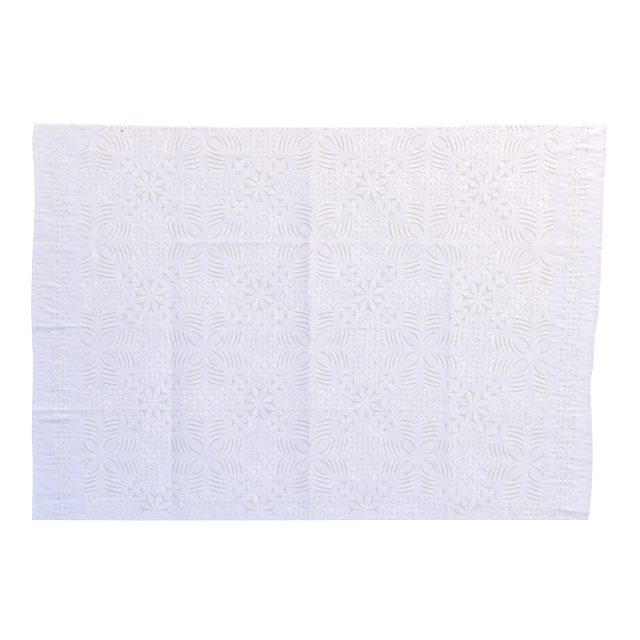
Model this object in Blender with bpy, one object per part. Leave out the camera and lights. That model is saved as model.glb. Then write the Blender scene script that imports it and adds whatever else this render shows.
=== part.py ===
"""Cut-work bedcover: four pieces of cotton laid face up, with its fold creases.

A maker cuts four pieces: one whole ground cloth, and over it a cut-work
field panel and two border strips, which meet the field at two seams.  The
cover has been folded into panels, and opened out it keeps eight creases.

Metres, +Z up.  +X runs across the cover, +Y towards its upper edge, and the
origin lies under the middle of the cover's box, on the surface it rests on.
"""
import math
from collections import namedtuple

import bmesh
import bpy
from mathutils import Vector
from mathutils.geometry import delaunay_2d_cdt

# ---------------------------------------------------------------- dimensions
GROUND_THICKNESS = 0.0012
UPPER_THICKNESS = 0.0010
PLY_GAP = 0.0003                 # between the ground cloth and what lies on it
SEAM_GAP = 0.0003                # between a border strip and the field
UPPER_LIFT = GROUND_THICKNESS + PLY_GAP

Station = namedtuple("Station", "along across")
CreasePoint = namedtuple("CreasePoint", "along across rise")
Fold = namedtuple("Fold", "offset ridge trough")
Crease = namedtuple("Crease", "section points")
Wrinkle = namedtuple("Wrinkle", "x0 y0 x1 y1 rise half_width")
Slit = namedtuple("Slit", "inner_x inner_y outer_x outer_y bow width")

# Side edges and seams: along is y, across is x, from the top down.
LEFT_EDGE = (
    Station(0.7926, -1.1388), Station(0.7406, -1.1472), Station(0.6446, -1.1436),
    Station(0.5006, -1.1392), Station(0.4046, -1.1412), Station(0.2126, -1.1508),
    Station(-0.0274, -1.1512), Station(-0.1234, -1.1468), Station(-0.2674, -1.1472),
    Station(-0.4594, -1.1510), Station(-0.5554, -1.1476), Station(-0.6514, -1.1472),
    Station(-0.7970, -1.1500),
)
RIGHT_EDGE = (
    Station(0.7986, 1.1496), Station(0.7406, 1.1512), Station(0.5486, 1.1412),
    Station(0.3566, 1.1352), Station(0.1646, 1.1268), Station(0.0206, 1.1176),
    Station(-0.0754, 1.1028), Station(-0.1714, 1.1000), Station(-0.2194, 1.0900),
    Station(-0.3634, 1.0908), Station(-0.5074, 1.0944), Station(-0.6034, 1.0936),
    Station(-0.6994, 1.0884), Station(-0.7946, 1.0760),
)
LEFT_SEAM = (Station(0.8200, -0.9664), Station(-0.0200, -0.9616), Station(-0.8200, -0.9540))
RIGHT_SEAM = (
    Station(0.8200, 0.9650), Station(0.0850, 0.9330),
    Station(-0.4350, 0.9060), Station(-0.8200, 0.8910),
)

# Upper and lower edges between the corners: along is x, across is y.
TOP_EDGE = (
    Station(-0.8400, 0.7862), Station(-0.6500, 0.7814), Station(-0.4600, 0.7786),
    Station(0.2200, 0.7786), Station(0.5000, 0.7822), Station(0.6900, 0.7886),
    Station(0.8800, 0.7920), Station(1.0800, 0.7904),
)
BOTTOM_EDGE = (Station(-0.9000, -0.7986), Station(0.0000, -0.7970), Station(0.4000, -0.7946))

# A crease's section: at each offset from its line, the share of its rise
# where it stands as a ridge and where it lies as a trough between shoulders.
# A crease that changes from one to the other has the shoulders all along.
RIDGE = (Fold(0.000, 1.00, 0.00), Fold(0.036, 0.00, 0.00))
SHOULDERED = (Fold(0.000, 1.00, 0.00), Fold(0.014, 0.45, 1.00), Fold(0.038, 0.00, 0.00))

# Creases that run from the upper edge to the lower: along is y, across is x.
# A positive rise is a ridge and a negative one a trough.
UPRIGHT_CREASES = (
    Crease(SHOULDERED, (
        CreasePoint(0.86, -0.582, -0.0020), CreasePoint(0.42, -0.586, -0.0040),
        CreasePoint(-0.08, -0.580, -0.0034), CreasePoint(-0.44, -0.582, -0.0044),
        CreasePoint(-0.86, -0.584, -0.0026),
    )),
    Crease(RIDGE, (
        CreasePoint(0.86, -0.036, 0.0060), CreasePoint(0.52, -0.037, 0.0088),
        CreasePoint(0.18, -0.036, 0.0092), CreasePoint(-0.14, -0.038, 0.0072),
        CreasePoint(-0.46, -0.036, 0.0084), CreasePoint(-0.86, -0.038, 0.0050),
    )),
    Crease(RIDGE, (
        CreasePoint(0.86, 0.528, 0.0024), CreasePoint(0.52, 0.526, 0.0042),
        CreasePoint(0.18, 0.508, 0.0078), CreasePoint(-0.10, 0.512, 0.0058),
        CreasePoint(-0.42, 0.500, 0.0066), CreasePoint(-0.86, 0.504, 0.0030),
    )),
)

# Creases that run from the left edge to the right: along is x, across is y.
LEVEL_CREASES = (
    Crease(RIDGE, (
        CreasePoint(-1.22, 0.664, 0.0010), CreasePoint(-0.60, 0.668, 0.0040),
        CreasePoint(0.18, 0.664, 0.0012), CreasePoint(0.56, 0.670, 0.0042),
        CreasePoint(0.90, 0.660, 0.0046), CreasePoint(1.22, 0.690, 0.0060),
    )),
    Crease(RIDGE, (
        CreasePoint(-1.22, 0.318, 0.0016), CreasePoint(-0.70, 0.318, 0.0030),
        CreasePoint(-0.48, 0.316, 0.0080), CreasePoint(-0.10, 0.314, 0.0070),
        CreasePoint(0.12, 0.312, 0.0032), CreasePoint(0.46, 0.308, 0.0042),
        CreasePoint(1.22, 0.300, 0.0028),
    )),
    Crease(RIDGE, (
        CreasePoint(-1.22, -0.022, 0.0070), CreasePoint(-0.80, -0.026, 0.0044),
        CreasePoint(-0.30, -0.023, 0.0018), CreasePoint(0.12, -0.018, 0.0048),
        CreasePoint(0.48, -0.020, 0.0030), CreasePoint(1.22, -0.034, 0.0040),
    )),
    Crease(SHOULDERED, (
        CreasePoint(-1.22, -0.350, 0.0054), CreasePoint(-0.70, -0.352, 0.0050),
        CreasePoint(-0.52, -0.372, 0.0044), CreasePoint(-0.04, -0.366, 0.0030),
        CreasePoint(0.50, -0.352, -0.0036), CreasePoint(0.90, -0.366, -0.0040),
        CreasePoint(1.22, -0.396, -0.0058),
    )),
    Crease(SHOULDERED, (
        CreasePoint(-1.22, -0.706, 0.0046), CreasePoint(-0.56, -0.710, 0.0040),
        CreasePoint(0.20, -0.712, 0.0022), CreasePoint(0.60, -0.738, -0.0034),
        CreasePoint(1.22, -0.766, -0.0062),
    )),
)

# Short pulls in the borders, highest half-way along.
WRINKLES = (
    Wrinkle(1.136, 0.778, 0.966, 0.694, 0.0070, 0.020),
    Wrinkle(1.120, 0.590, 0.985, 0.560, 0.0034, 0.014),
    Wrinkle(1.104, -0.056, 0.985, -0.150, 0.0050, 0.018),
    Wrinkle(1.074, -0.190, 0.975, -0.290, 0.0044, 0.016),
    Wrinkle(1.070, -0.620, 0.950, -0.560, 0.0040, 0.016),
    Wrinkle(-1.130, 0.120, -1.010, 0.052, 0.0036, 0.014),
    Wrinkle(-1.128, 0.230, -1.000, 0.262, 0.0030, 0.014),
    Wrinkle(-1.132, -0.540, -1.010, -0.500, 0.0034, 0.014),
)

# The chart of motifs: stars stand on whole steps of the pitch, and the
# four-leaved flowers half a step between them both ways.
PITCH_ACROSS = 0.4464
PITCH_ALONG = 0.4295
CHART_X = -0.240                 # the column of stars that runs straight
CHART_Y = 0.5386                 # the highest row of stars
LEAN = 0.0473                    # columns close up towards the bottom, per metre
SAG_START = 0.40                 # right of this x the rows dip
SAG = 0.055

# One leaf of a flower, cut along both sides, from the flower's centre.
LEAF_SLITS = (
    Slit(0.0087, 0.0280, 0.0587, 0.0697, 0.0125, 0.0064),
    Slit(0.0253, 0.0103, 0.0727, 0.0580, -0.0145, 0.0064),
)

# A star's forked slit, on its axis from the star's centre.
STAR_SLITS = 8
STEM_INNER = 0.019
FORK_SHOULDER = 0.047
FORK_SHOULDER_HALF = 0.0042
FORK_CROTCH = 0.058
FORK_TIP = 0.0705
FORK_SPREAD = math.radians(17.0)

SLIT_MARGIN = 0.008              # uncut cloth left along an edge or a seam
SNAP = 1e-5                      # points this close to a seam lie on it
JOIN = 1e-6                      # points this close together are one


# ------------------------------------------------------------------ creases
def interpolate(rows, along, column):
    """Value of one column of a table at a place along it."""
    rows = sorted(rows, key=lambda row: row.along)
    if along <= rows[0].along:
        return getattr(rows[0], column)
    for low, high in zip(rows, rows[1:]):
        if along <= high.along:
            share = (along - low.along) / (high.along - low.along)
            start = getattr(low, column)
            return start + share * (getattr(high, column) - start)
    return getattr(rows[-1], column)


def section_height(section, rise, distance):
    """Height of a crease's section at a distance from its line."""
    distance = abs(distance)
    for near, far in zip(section, section[1:]):
        if distance <= far.offset:
            share = (distance - near.offset) / (far.offset - near.offset)
            ridge = near.ridge + share * (far.ridge - near.ridge)
            trough = near.trough + share * (far.trough - near.trough)
            return rise * ridge if rise > 0 else -rise * trough
    return 0.0


def crease_height(crease, along, across):
    """Height that one crease gives the cloth at a point."""
    line = interpolate(crease.points, along, "across")
    rise = interpolate(crease.points, along, "rise")
    return section_height(crease.section, rise, across - line)


def wrinkle_height(wrinkle, x, y):
    """Height of a four-sided tent over a wrinkle's line."""
    run = Vector((wrinkle.x1 - wrinkle.x0, wrinkle.y1 - wrinkle.y0))
    from_start = Vector((x - wrinkle.x0, y - wrinkle.y0))
    share = from_start.dot(run) / run.length_squared
    aside = abs(run.x * from_start.y - run.y * from_start.x) / run.length
    taper = 1.0 - abs(2.0 * share - 1.0)
    return wrinkle.rise * max(0.0, taper - aside / wrinkle.half_width)


def cloth_height(x, y):
    """Height of the ground cloth's underside above the surface."""
    upright_height = max(crease_height(crease, y, x) for crease in UPRIGHT_CREASES)
    level_height = max(crease_height(crease, x, y) for crease in LEVEL_CREASES)
    pulled = max(wrinkle_height(wrinkle, x, y) for wrinkle in WRINKLES)
    height = max(upright_height, level_height) + pulled
    return height if height > JOIN else 0.0


def crease_lines():
    """Every line along which the cloth bends, as lists of (x, y)."""
    lines = []
    for crease in UPRIGHT_CREASES + LEVEL_CREASES:
        for offset in sorted({side * fold.offset for fold in crease.section for side in (-1, 1)}):
            line = [(point.across + offset, point.along) for point in crease.points]
            if crease in LEVEL_CREASES:
                line = [(y, x) for x, y in line]
            lines.append(line)
    for wrinkle in WRINKLES:
        start = Vector((wrinkle.x0, wrinkle.y0))
        end = Vector((wrinkle.x1, wrinkle.y1))
        aside = (end - start).orthogonal().normalized() * wrinkle.half_width
        middle = (start + end) / 2.0
        for corner in (middle, middle + aside, middle - aside):
            lines.append([tuple(start), tuple(corner), tuple(end)])
        lines.append([tuple(middle - aside), tuple(middle), tuple(middle + aside)])
    return lines


# ------------------------------------------------------------------- panels
def stretch(rows, start, stop):
    """A table's rows between two places along it, with its ends worked out."""
    low, high = min(start, stop), max(start, stop)
    inner = [row for row in rows if low < row.along < high]
    inner.sort(key=lambda row: row.along, reverse=stop < start)
    ends = [Station(place, interpolate(rows, place, "across")) for place in (start, stop)]
    return [ends[0], *inner, ends[1]]


def whole_edge(rows, left_corner, right_corner):
    """The upper or the lower edge with its corners, along x."""
    first = Station(left_corner.across, left_corner.along)
    last = Station(right_corner.across, right_corner.along)
    return (first, *rows, last)


TOP_LINE = whole_edge(TOP_EDGE, LEFT_EDGE[0], RIGHT_EDGE[0])
BOTTOM_LINE = whole_edge(BOTTOM_EDGE, LEFT_EDGE[-1], RIGHT_EDGE[-1])


def seam_end(seam, edge):
    """Where a seam meets the upper or the lower edge, as (x, y)."""
    x = interpolate(seam, edge[0].across, "across")
    for _ in range(4):
        y = interpolate(edge, x, "across")
        x = interpolate(seam, y, "across")
    return x, y


def upright(rows, top, bottom):
    """The (x, y) points of a side edge or a seam, from the top down."""
    return [(row.across, row.along) for row in stretch(rows, top, bottom)]


def level(rows, left, right):
    """The (x, y) points of the upper or the lower edge, from left to right."""
    return [(row.along, row.across) for row in stretch(rows, left, right)]


def panel_outline(left_rows, right_rows):
    """A panel's outline, anticlockwise, between two side lines."""
    left_top, left_low = seam_end(left_rows, TOP_LINE), seam_end(left_rows, BOTTOM_LINE)
    right_top, right_low = seam_end(right_rows, TOP_LINE), seam_end(right_rows, BOTTOM_LINE)
    down = upright(left_rows, left_top[1], left_low[1])
    right = level(BOTTOM_LINE, left_low[0], right_low[0])
    up = upright(right_rows, right_top[1], right_low[1])[::-1]
    back = level(TOP_LINE, left_top[0], right_top[0])[::-1]
    return down[:-1] + right[:-1] + up[:-1] + back[:-1]


PANELS = {
    "border_left": (LEFT_EDGE, LEFT_SEAM),
    "cutwork_field": (LEFT_SEAM, RIGHT_SEAM),
    "border_right": (RIGHT_SEAM, RIGHT_EDGE),
}


# -------------------------------------------------------------------- slits
def chart_point(across, along):
    """Place on the cloth of a point of the motif chart."""
    x = CHART_X + across * (1.0 - LEAN * (CHART_Y - along))
    return x, along - SAG * max(0.0, x - SAG_START)


def arc_slit(slit, flip_x, flip_y):
    """A slit bowed to one side and pointed at both ends."""
    start = Vector((slit.inner_x, slit.inner_y))
    end = Vector((slit.outer_x, slit.outer_y))
    normal = (end - start).orthogonal().normalized()

    def point(share, side):
        swell = 4.0 * share * (1.0 - share)
        aside = slit.bow * swell + side * slit.width / 2.0 * math.sqrt(swell)
        return start.lerp(end, share) + normal * aside

    loop = [start, point(1 / 3, -1), point(2 / 3, -1), end, point(2 / 3, 1), point(1 / 3, 1)]
    return [(place.x * flip_x, place.y * flip_y) for place in loop]


def forked_slit(turn):
    """A star's slit: a stem that forks outwards, all its ends pointed."""
    def polar(radius, angle):
        return radius * math.cos(turn + angle), radius * math.sin(turn + angle)

    shoulder = math.atan2(FORK_SHOULDER_HALF, FORK_SHOULDER)
    return [
        polar(STEM_INNER, 0.0), polar(FORK_SHOULDER, -shoulder), polar(FORK_TIP, -FORK_SPREAD),
        polar(FORK_CROTCH, 0.0), polar(FORK_TIP, FORK_SPREAD), polar(FORK_SHOULDER, shoulder),
    ]


def flower_slits():
    """The eight slits that outline a flower's four leaves."""
    return [arc_slit(slit, fx, fy) for slit in LEAF_SLITS for fx in (1, -1) for fy in (1, -1)]


def star_slits():
    """A star's forked slits, evenly turned."""
    return [forked_slit(2.0 * math.pi * turn / STAR_SLITS) for turn in range(STAR_SLITS)]


def inside_field(x, y):
    """Whether a point lies on the field panel, clear of its edges."""
    return (
        interpolate(LEFT_SEAM, y, "across") + SLIT_MARGIN < x
        < interpolate(RIGHT_SEAM, y, "across") - SLIT_MARGIN
        and interpolate(BOTTOM_LINE, x, "across") + SLIT_MARGIN < y
        < interpolate(TOP_LINE, x, "across") - SLIT_MARGIN
    )


def anticlockwise(loop):
    """The loop, turned to run anticlockwise."""
    area = sum(x0 * y1 - x1 * y0 for (x0, y0), (x1, y1) in zip(loop, loop[1:] + loop[:1]))
    return loop if area > 0 else loop[::-1]


def field_slits():
    """Outlines of all leaf and star slits that lie whole on the field."""
    slits = []
    for column in range(-2, 4):
        for row in range(-1, 5):
            for motif, step in ((star_slits(), 0.0), (flower_slits(), 0.5)):
                centre_x = (column + step) * PITCH_ACROSS
                centre_y = CHART_Y - (row + step) * PITCH_ALONG
                for loop in motif:
                    placed = [chart_point(centre_x + x, centre_y + y) for x, y in loop]
                    if all(inside_field(x, y) for x, y in placed):
                        slits.append(anticlockwise(placed))
    return slits


# ------------------------------------------------------------------- sheets
class Net:
    """Points, edges and faces to be joined into one net of triangles."""

    def __init__(self):
        self.points, self.edges, self.faces = [], [], []

    def add_loop(self, loop):
        """Add a closed outline, whose triangles will name it."""
        first = len(self.points)
        self.points.extend(Vector(place) for place in loop)
        self.faces.append(list(range(first, first + len(loop))))

    def add_line(self, line):
        """Add an open line that the triangles keep as edges."""
        first = len(self.points)
        self.points.extend(Vector(place) for place in line)
        self.edges.extend((first + step, first + step + 1) for step in range(len(line) - 1))

    def triangles(self):
        """The net's points, faces, and for each face the loops it lies in."""
        net = delaunay_2d_cdt(self.points, self.edges, self.faces, 0, JOIN, True)
        return net[0], net[2], net[5]


def folded_cover():
    """Points with their heights, and each panel's triangles, over the creases."""
    net = Net()
    for sides in PANELS.values():
        net.add_loop(panel_outline(*sides))
    for line in crease_lines():
        net.add_line(line)
    flat_points, faces, sources = net.triangles()
    points = [Vector((x, y, cloth_height(x, y))) for x, y in flat_points]
    panels = {name: [] for name in PANELS}
    for face, source in zip(faces, sources):
        for index, name in enumerate(PANELS):
            if index in source:
                panels[name].append(face)
    return points, panels


def plane_height(corners, x, y):
    """Height over (x, y) of the plane through three points."""
    base, first, second = corners
    normal = (first - base).cross(second - base)
    return base.z - (normal.x * (x - base.x) + normal.y * (y - base.y)) / normal.z


def cut_field(points, faces):
    """The field's own points and triangles, with its slits cut away.

    The slits' points stand on the cover's triangles, so the cut cloth keeps
    its distance from the ground cloth over each crease.
    """
    net = Net()
    net.add_loop(panel_outline(*PANELS["cutwork_field"]))
    slopes = [[points[index] for index in face] for face in faces]
    slopes = [corners for corners in slopes if max(corner.z for corner in corners) > 0.0]
    for corners in slopes:
        net.add_loop([corner.xy for corner in corners])
    for loop in field_slits():
        net.add_loop(loop)
    flat_points, cut_faces, sources = net.triangles()
    heights = [0.0] * len(flat_points)
    kept = []
    for face, source in zip(cut_faces, sources):
        if 0 not in source or max(source) > len(slopes):
            continue
        kept.append(face)
        for slope in source:
            if slope > 0:
                for index in face:
                    x, y = flat_points[index]
                    heights[index] = max(0.0, plane_height(slopes[slope - 1], x, y))
    return [Vector((*place, height)) for place, height in zip(flat_points, heights)], kept


def seam_shift(name, point):
    """How far a piece's point on a seam stands back from the seam."""
    if name not in PANELS:
        return 0.0
    for side, rows in zip((1, -1), PANELS[name]):
        on_seam = rows in (LEFT_SEAM, RIGHT_SEAM)
        if on_seam and abs(interpolate(rows, point.y, "across") - point.x) < SNAP:
            return side * SEAM_GAP / 2.0
    return 0.0


def build_sheet(name, points, faces, lift, thickness, material):
    """A sheet of even thickness over a group of triangles."""
    shape = bmesh.new()
    under, over = {}, {}
    for index in sorted({index for face in faces for index in face}):
        point = points[index]
        x = point.x + seam_shift(name, point)
        under[index] = shape.verts.new((x, point.y, point.z + lift))
        over[index] = shape.verts.new((x, point.y, point.z + lift + thickness))
    open_edges = {}
    for face in faces:
        shape.faces.new([over[index] for index in face])
        shape.faces.new([under[index] for index in reversed(face)])
        for start, end in zip(face, face[1:] + face[:1]):
            if (end, start) in open_edges:
                del open_edges[end, start]
            else:
                open_edges[start, end] = True
    for start, end in open_edges:
        shape.faces.new((under[start], under[end], over[end], over[start]))
    mesh = bpy.data.meshes.new(name)
    shape.to_mesh(mesh)
    shape.free()
    mesh.materials.append(material)
    sheet = bpy.data.objects.new(name, mesh)
    bpy.context.scene.collection.objects.link(sheet)
    return sheet


def cotton(name, colour, roughness):
    """A plain cotton finish."""
    material = bpy.data.materials.new(name)
    material.use_nodes = True
    shader = material.node_tree.nodes["Principled BSDF"]
    shader.inputs["Base Color"].default_value = (*colour, 1.0)
    shader.inputs["Roughness"].default_value = roughness
    shader.inputs["Metallic"].default_value = 0.0
    return material


def build():
    """Make the ground cloth and the three pieces that lie on it."""
    ground = cotton("ground_cotton", (0.72, 0.69, 0.66), 0.90)
    upper = cotton("upper_cotton", (0.80, 0.79, 0.85), 0.85)
    border = cotton("border_cotton", (0.79, 0.79, 0.88), 0.85)
    points, panels = folded_cover()
    whole = [face for faces in panels.values() for face in faces]
    build_sheet("ground_cloth", points, whole, 0.0, GROUND_THICKNESS, ground)
    for name in ("border_left", "border_right"):
        build_sheet(name, points, panels[name], UPPER_LIFT, UPPER_THICKNESS, border)
    cut_points, cut_faces = cut_field(points, panels["cutwork_field"])
    build_sheet("cutwork_field", cut_points, cut_faces, UPPER_LIFT, UPPER_THICKNESS, upper)


for old in list(bpy.data.objects):
    bpy.data.objects.remove(old, do_unlink=True)
build()
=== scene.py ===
"""A cut-work tivaevae quilt, laid out flat after it has been kept folded.

Four pieces of cotton: a whole ground cloth, and over it a field panel with
its motifs cut through and two border strips.  Metres; +X runs across the
cover, +Y towards its upper edge, and +Z up from the floor that it lies on.
"""

import logging
import math
from dataclasses import dataclass, field
from enum import Enum

import bpy
import numpy as np
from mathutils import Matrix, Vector
from mathutils.geometry import delaunay_2d_cdt
from mathutils.kdtree import KDTree


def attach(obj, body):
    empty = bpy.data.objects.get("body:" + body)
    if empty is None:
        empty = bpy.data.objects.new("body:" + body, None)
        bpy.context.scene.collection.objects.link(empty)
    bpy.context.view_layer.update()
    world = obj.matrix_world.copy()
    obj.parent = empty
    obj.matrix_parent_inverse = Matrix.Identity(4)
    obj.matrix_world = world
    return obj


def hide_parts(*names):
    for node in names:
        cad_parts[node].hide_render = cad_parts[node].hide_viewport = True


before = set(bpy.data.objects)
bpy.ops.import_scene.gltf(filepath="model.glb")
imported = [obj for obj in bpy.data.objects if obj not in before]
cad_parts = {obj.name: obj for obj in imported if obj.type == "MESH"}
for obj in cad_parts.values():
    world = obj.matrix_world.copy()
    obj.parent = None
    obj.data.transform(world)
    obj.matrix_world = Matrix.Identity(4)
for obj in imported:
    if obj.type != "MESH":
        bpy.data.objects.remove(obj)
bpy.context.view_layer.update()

LOG = logging.getLogger("quilt")
BODY = "root"

# Heights over the floor where the cover has no crease.
GROUND_TOP = 0.0015
UPPER_TOP = 0.00225              # the upper cloth lies loosely on the ground
TURNED_EDGE = 0.0003             # where an upper cloth's outer edge turns down to
CUT_DROP = 0.00016               # how far a slit's turned edge dips below the cloth
CUT_ROLL = 0.00006               # how far the fold beside it stands over the cloth
CUT_ROLL_WIDTH = 0.0016
TURNED_WIDTH = 0.0032            # the cloth is double this far round a slit, and the painted highlight on its rim reaches as far

Points = np.ndarray              # rows of x and y
Pair = tuple[float, float]
Triple = tuple[float, float, float]
Row = tuple[float, ...]
Table = tuple[Row, ...]


def eased(share: np.ndarray) -> np.ndarray:
    """The share, slowed at both ends."""
    return share * share * (3.0 - 2.0 * share)


def unit(rows: Points) -> Points:
    """The rows, each made one long."""
    return rows / np.maximum(np.linalg.norm(rows, axis=1, keepdims=True), 1e-12)


def spun(loop: Points, cosine: float, sine: float) -> Points:
    """The loop, turned anticlockwise round the origin."""
    return loop @ np.array(((cosine, sine), (-sine, cosine)))


def linked(name: str, data: bpy.types.ID) -> bpy.types.Object:
    """Make an object in the scene.

    Args:
        name: its name.
        data: its mesh, light or camera.

    Returns:
        The object.
    """
    made = bpy.data.objects.new(name, data)
    bpy.context.scene.collection.objects.link(made)
    return made


# ------------------------------------------------------------------ guides
@dataclass(frozen=True)
class Rumple:
    """Soft, seeded unevenness between 0 and its rise."""

    seed: int
    size_x: float
    size_y: float
    rise: float
    table_side: int = 64

    def at(self, x: np.ndarray, y: np.ndarray) -> np.ndarray:
        """Height of the unevenness.

        Args:
            x: places across the cover.
            y: places along it.

        Returns:
            Heights from 0 to the rise, in the shape of x.
        """
        table = np.random.default_rng(self.seed).random((self.table_side, self.table_side))
        u = np.asarray(x) / self.size_x + self.table_side
        v = np.asarray(y) / self.size_y + self.table_side
        column, row = np.floor(u).astype(int), np.floor(v).astype(int)
        u, v = eased(u - column), eased(v - row)
        column, row = column % self.table_side, row % self.table_side
        next_column, next_row = (column + 1) % self.table_side, (row + 1) % self.table_side
        low = table[column, row] * (1 - u) + table[next_column, row] * u
        high = table[column, next_row] * (1 - u) + table[next_column, next_row] * u
        return self.rise * (low * (1 - v) + high * v)

    def centred(self, x: np.ndarray, y: np.ndarray) -> np.ndarray:
        """Height over half the rise, for a cloth that hangs on both sides of its middle."""
        return self.at(x, y) - 0.5 * self.rise


@dataclass(frozen=True)
class GuideLine:
    """A smooth line over the cover: an edge, a seam or a crease."""

    stations: tuple[Pair, ...]      # place along, place across
    wobble: float = 0.0
    wobble_length: float = 0.045
    seed: int = 0

    def at(self, along: np.ndarray) -> np.ndarray:
        """Where the line lies across the cover.

        Args:
            along: places along the line.

        Returns:
            The line's place across at each of them.
        """
        knots = np.array(sorted(self.stations))
        where, value = knots[:, 0], knots[:, 1]
        tangent = np.gradient(value, where)
        place = np.clip(along, where[0], where[-1])
        first = np.clip(np.searchsorted(where, place, side="right") - 1, 0, len(where) - 2)
        span = where[first + 1] - where[first]
        share = (place - where[first]) / span
        square, cube = share * share, share ** 3
        line = (
            (2 * cube - 3 * square + 1) * value[first]
            + (cube - 2 * square + share) * span * tangent[first]
            + (3 * square - 2 * cube) * value[first + 1]
            + (cube - square) * span * tangent[first + 1]
        )
        if self.wobble:
            uneven = Rumple(self.seed, self.wobble_length, 1.0, 2.0 * self.wobble)
            line = line + uneven.at(along, np.zeros_like(along)) - self.wobble
        return line

    def place(self, along: float) -> float:
        """Where the line lies across the cover at one place along it."""
        return float(self.at(np.array([along]))[0])


# ------------------------------------------------------------------ relief
class Run(Enum):
    """Which way a crease runs over the cover."""

    UPRIGHT = "from the upper edge to the lower"
    LEVEL = "from the left edge to the right"


@dataclass(frozen=True)
class Crease:
    """A fold line that the cover has kept.

    A positive rise stands as a ridge.  A negative one lies as a trough
    between two shoulders, which fade away beyond the reach.
    """

    run: Run
    points: tuple[Triple, ...]      # along, across, rise
    before: float                   # how far its flank reaches to the left or below
    after: float                    # and to the right or above
    shoulder_before: float = 1.0    # a trough's shoulders, as shares of its rise
    shoulder_after: float = 1.0
    reach: float = 0.20
    tip: float = 0.0008             # radius of the fold

    @property
    def line(self) -> GuideLine:
        """The crease's line."""
        return GuideLine(tuple((along, across) for along, across, _ in self.points))

    def at(self, x: np.ndarray, y: np.ndarray) -> np.ndarray:
        """Height that the crease gives the cloth.

        Args:
            x: places across the cover.
            y: places along it.

        Returns:
            Heights, in the shape of x.
        """
        along, across = (y, x) if self.run is Run.UPRIGHT else (x, y)
        rows = sorted(self.points)
        rise = np.interp(along, [row[0] for row in rows], [row[2] for row in rows])
        aside = across - self.line.at(along)
        distance = np.sqrt(aside * aside + self.tip ** 2) - self.tip
        fall = np.exp(-distance / np.where(aside < 0, self.before, self.after))
        ridge = np.maximum(rise, 0.0) * fall
        share = np.where(aside < 0, self.shoulder_before, self.shoulder_after)
        fade = np.exp(-((distance / self.reach) ** 2))
        return ridge + np.maximum(-rise, 0.0) * share * (1.0 - fall) * fade


@dataclass(frozen=True)
class Pull:
    """A short wrinkle, highest half-way along."""

    start: Pair
    end: Pair
    rise: float
    width: float

    def at(self, x: np.ndarray, y: np.ndarray) -> np.ndarray:
        """Height of the wrinkle.

        Args:
            x: places across the cover.
            y: places along it.

        Returns:
            Heights, in the shape of x.
        """
        run_x, run_y = self.end[0] - self.start[0], self.end[1] - self.start[1]
        length = math.hypot(run_x, run_y)
        from_x, from_y = x - self.start[0], y - self.start[1]
        share = (run_x * from_x + run_y * from_y) / length ** 2
        aside = (run_x * from_y - run_y * from_x) / length
        taper = eased(np.clip(1.0 - np.abs(2.0 * share - 1.0), 0.0, 1.0))
        return self.rise * taper * np.exp(-((aside / self.width) ** 2))


@dataclass(frozen=True)
class Gathers:
    """Small crosswise folds in the side strips, which the seams draw in."""

    seams: tuple[GuideLine, GuideLine]
    folds: Rumple
    fade: float = 0.030             # they die away inside a seam over this distance
    at_seam: float = 0.8            # share that is left at the seam itself
    left_share: float = 1.02
    right_share: float = 0.85

    def at(self, x: np.ndarray, y: np.ndarray) -> np.ndarray:
        """Height of the folds.

        Args:
            x: places across the cover.
            y: places along it.

        Returns:
            Heights, in the shape of x.
        """
        left, right = self.seams
        outside = np.maximum(left.at(y) - x, x - right.at(y))
        share = np.where(x < 0, self.left_share, self.right_share)
        drawn_in = np.clip(outside / self.fade + self.at_seam, 0.0, 1.0)
        return self.folds.centred(x, y) * share * drawn_in


@dataclass(frozen=True)
class Relief:
    """The whole cover's shape over the floor, before its own thickness."""

    creases: tuple[Crease, ...]
    pulls: tuple[Pull, ...]
    billows: tuple[Rumple | Gathers, ...]

    def at(self, x: np.ndarray, y: np.ndarray) -> np.ndarray:
        """Height of the ground cloth's underside at places across and along the cover."""
        parts = (*self.creases, *self.pulls, *self.billows)
        return np.maximum(sum(part.at(x, y) for part in parts), 0.0)

    def lines(self, run: Run) -> list[GuideLine]:
        """The lines of the creases that run one way, from the left or the bottom."""
        lines = [crease.line for crease in self.creases if crease.run is run]
        return sorted(lines, key=lambda line: line.stations[0][1])


LEFT_TROUGH = Crease(Run.UPRIGHT, (
    (0.86, -0.580, -0.0022), (0.70, -0.581, -0.0018), (0.56, -0.582, -0.0010),
    (0.42, -0.583, -0.0012), (0.22, -0.588, -0.0024), (0.06, -0.590, -0.0040),
    (-0.12, -0.590, -0.0064), (-0.28, -0.590, -0.0064), (-0.46, -0.592, -0.0072),
    (-0.60, -0.592, -0.0048),
    (-0.86, -0.592, -0.0040),
), before=0.070, after=0.042, shoulder_before=0.90, shoulder_after=1.10, reach=0.24)
MIDDLE_RIDGE = Crease(Run.UPRIGHT, (
    (0.86, -0.030, 0.0030), (0.72, -0.031, 0.0036), (0.56, -0.036, 0.0060),
    (0.40, -0.038, 0.0068), (0.22, -0.040, 0.0084), (-0.12, -0.041, 0.0080),
    (-0.26, -0.0425, 0.0074), (-0.45, -0.040, 0.0056), (-0.62, -0.040, 0.0058),
    (-0.86, -0.040, 0.0042),
), before=0.045, after=0.120)
RIGHT_RIDGE = Crease(Run.UPRIGHT, (
    (0.86, 0.534, 0.0002), (0.62, 0.532, 0.0008), (0.42, 0.530, 0.0009), (0.22, 0.528, 0.0008),
    (0.10, 0.527, 0.0048), (0.00, 0.525, 0.0050), (-0.10, 0.521, 0.0034),
    (-0.26, 0.519, 0.0032), (-0.45, 0.515, 0.0028), (-0.60, 0.514, 0.0020),
    (-0.86, 0.512, 0.0010),
), before=0.026, after=0.060)
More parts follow.
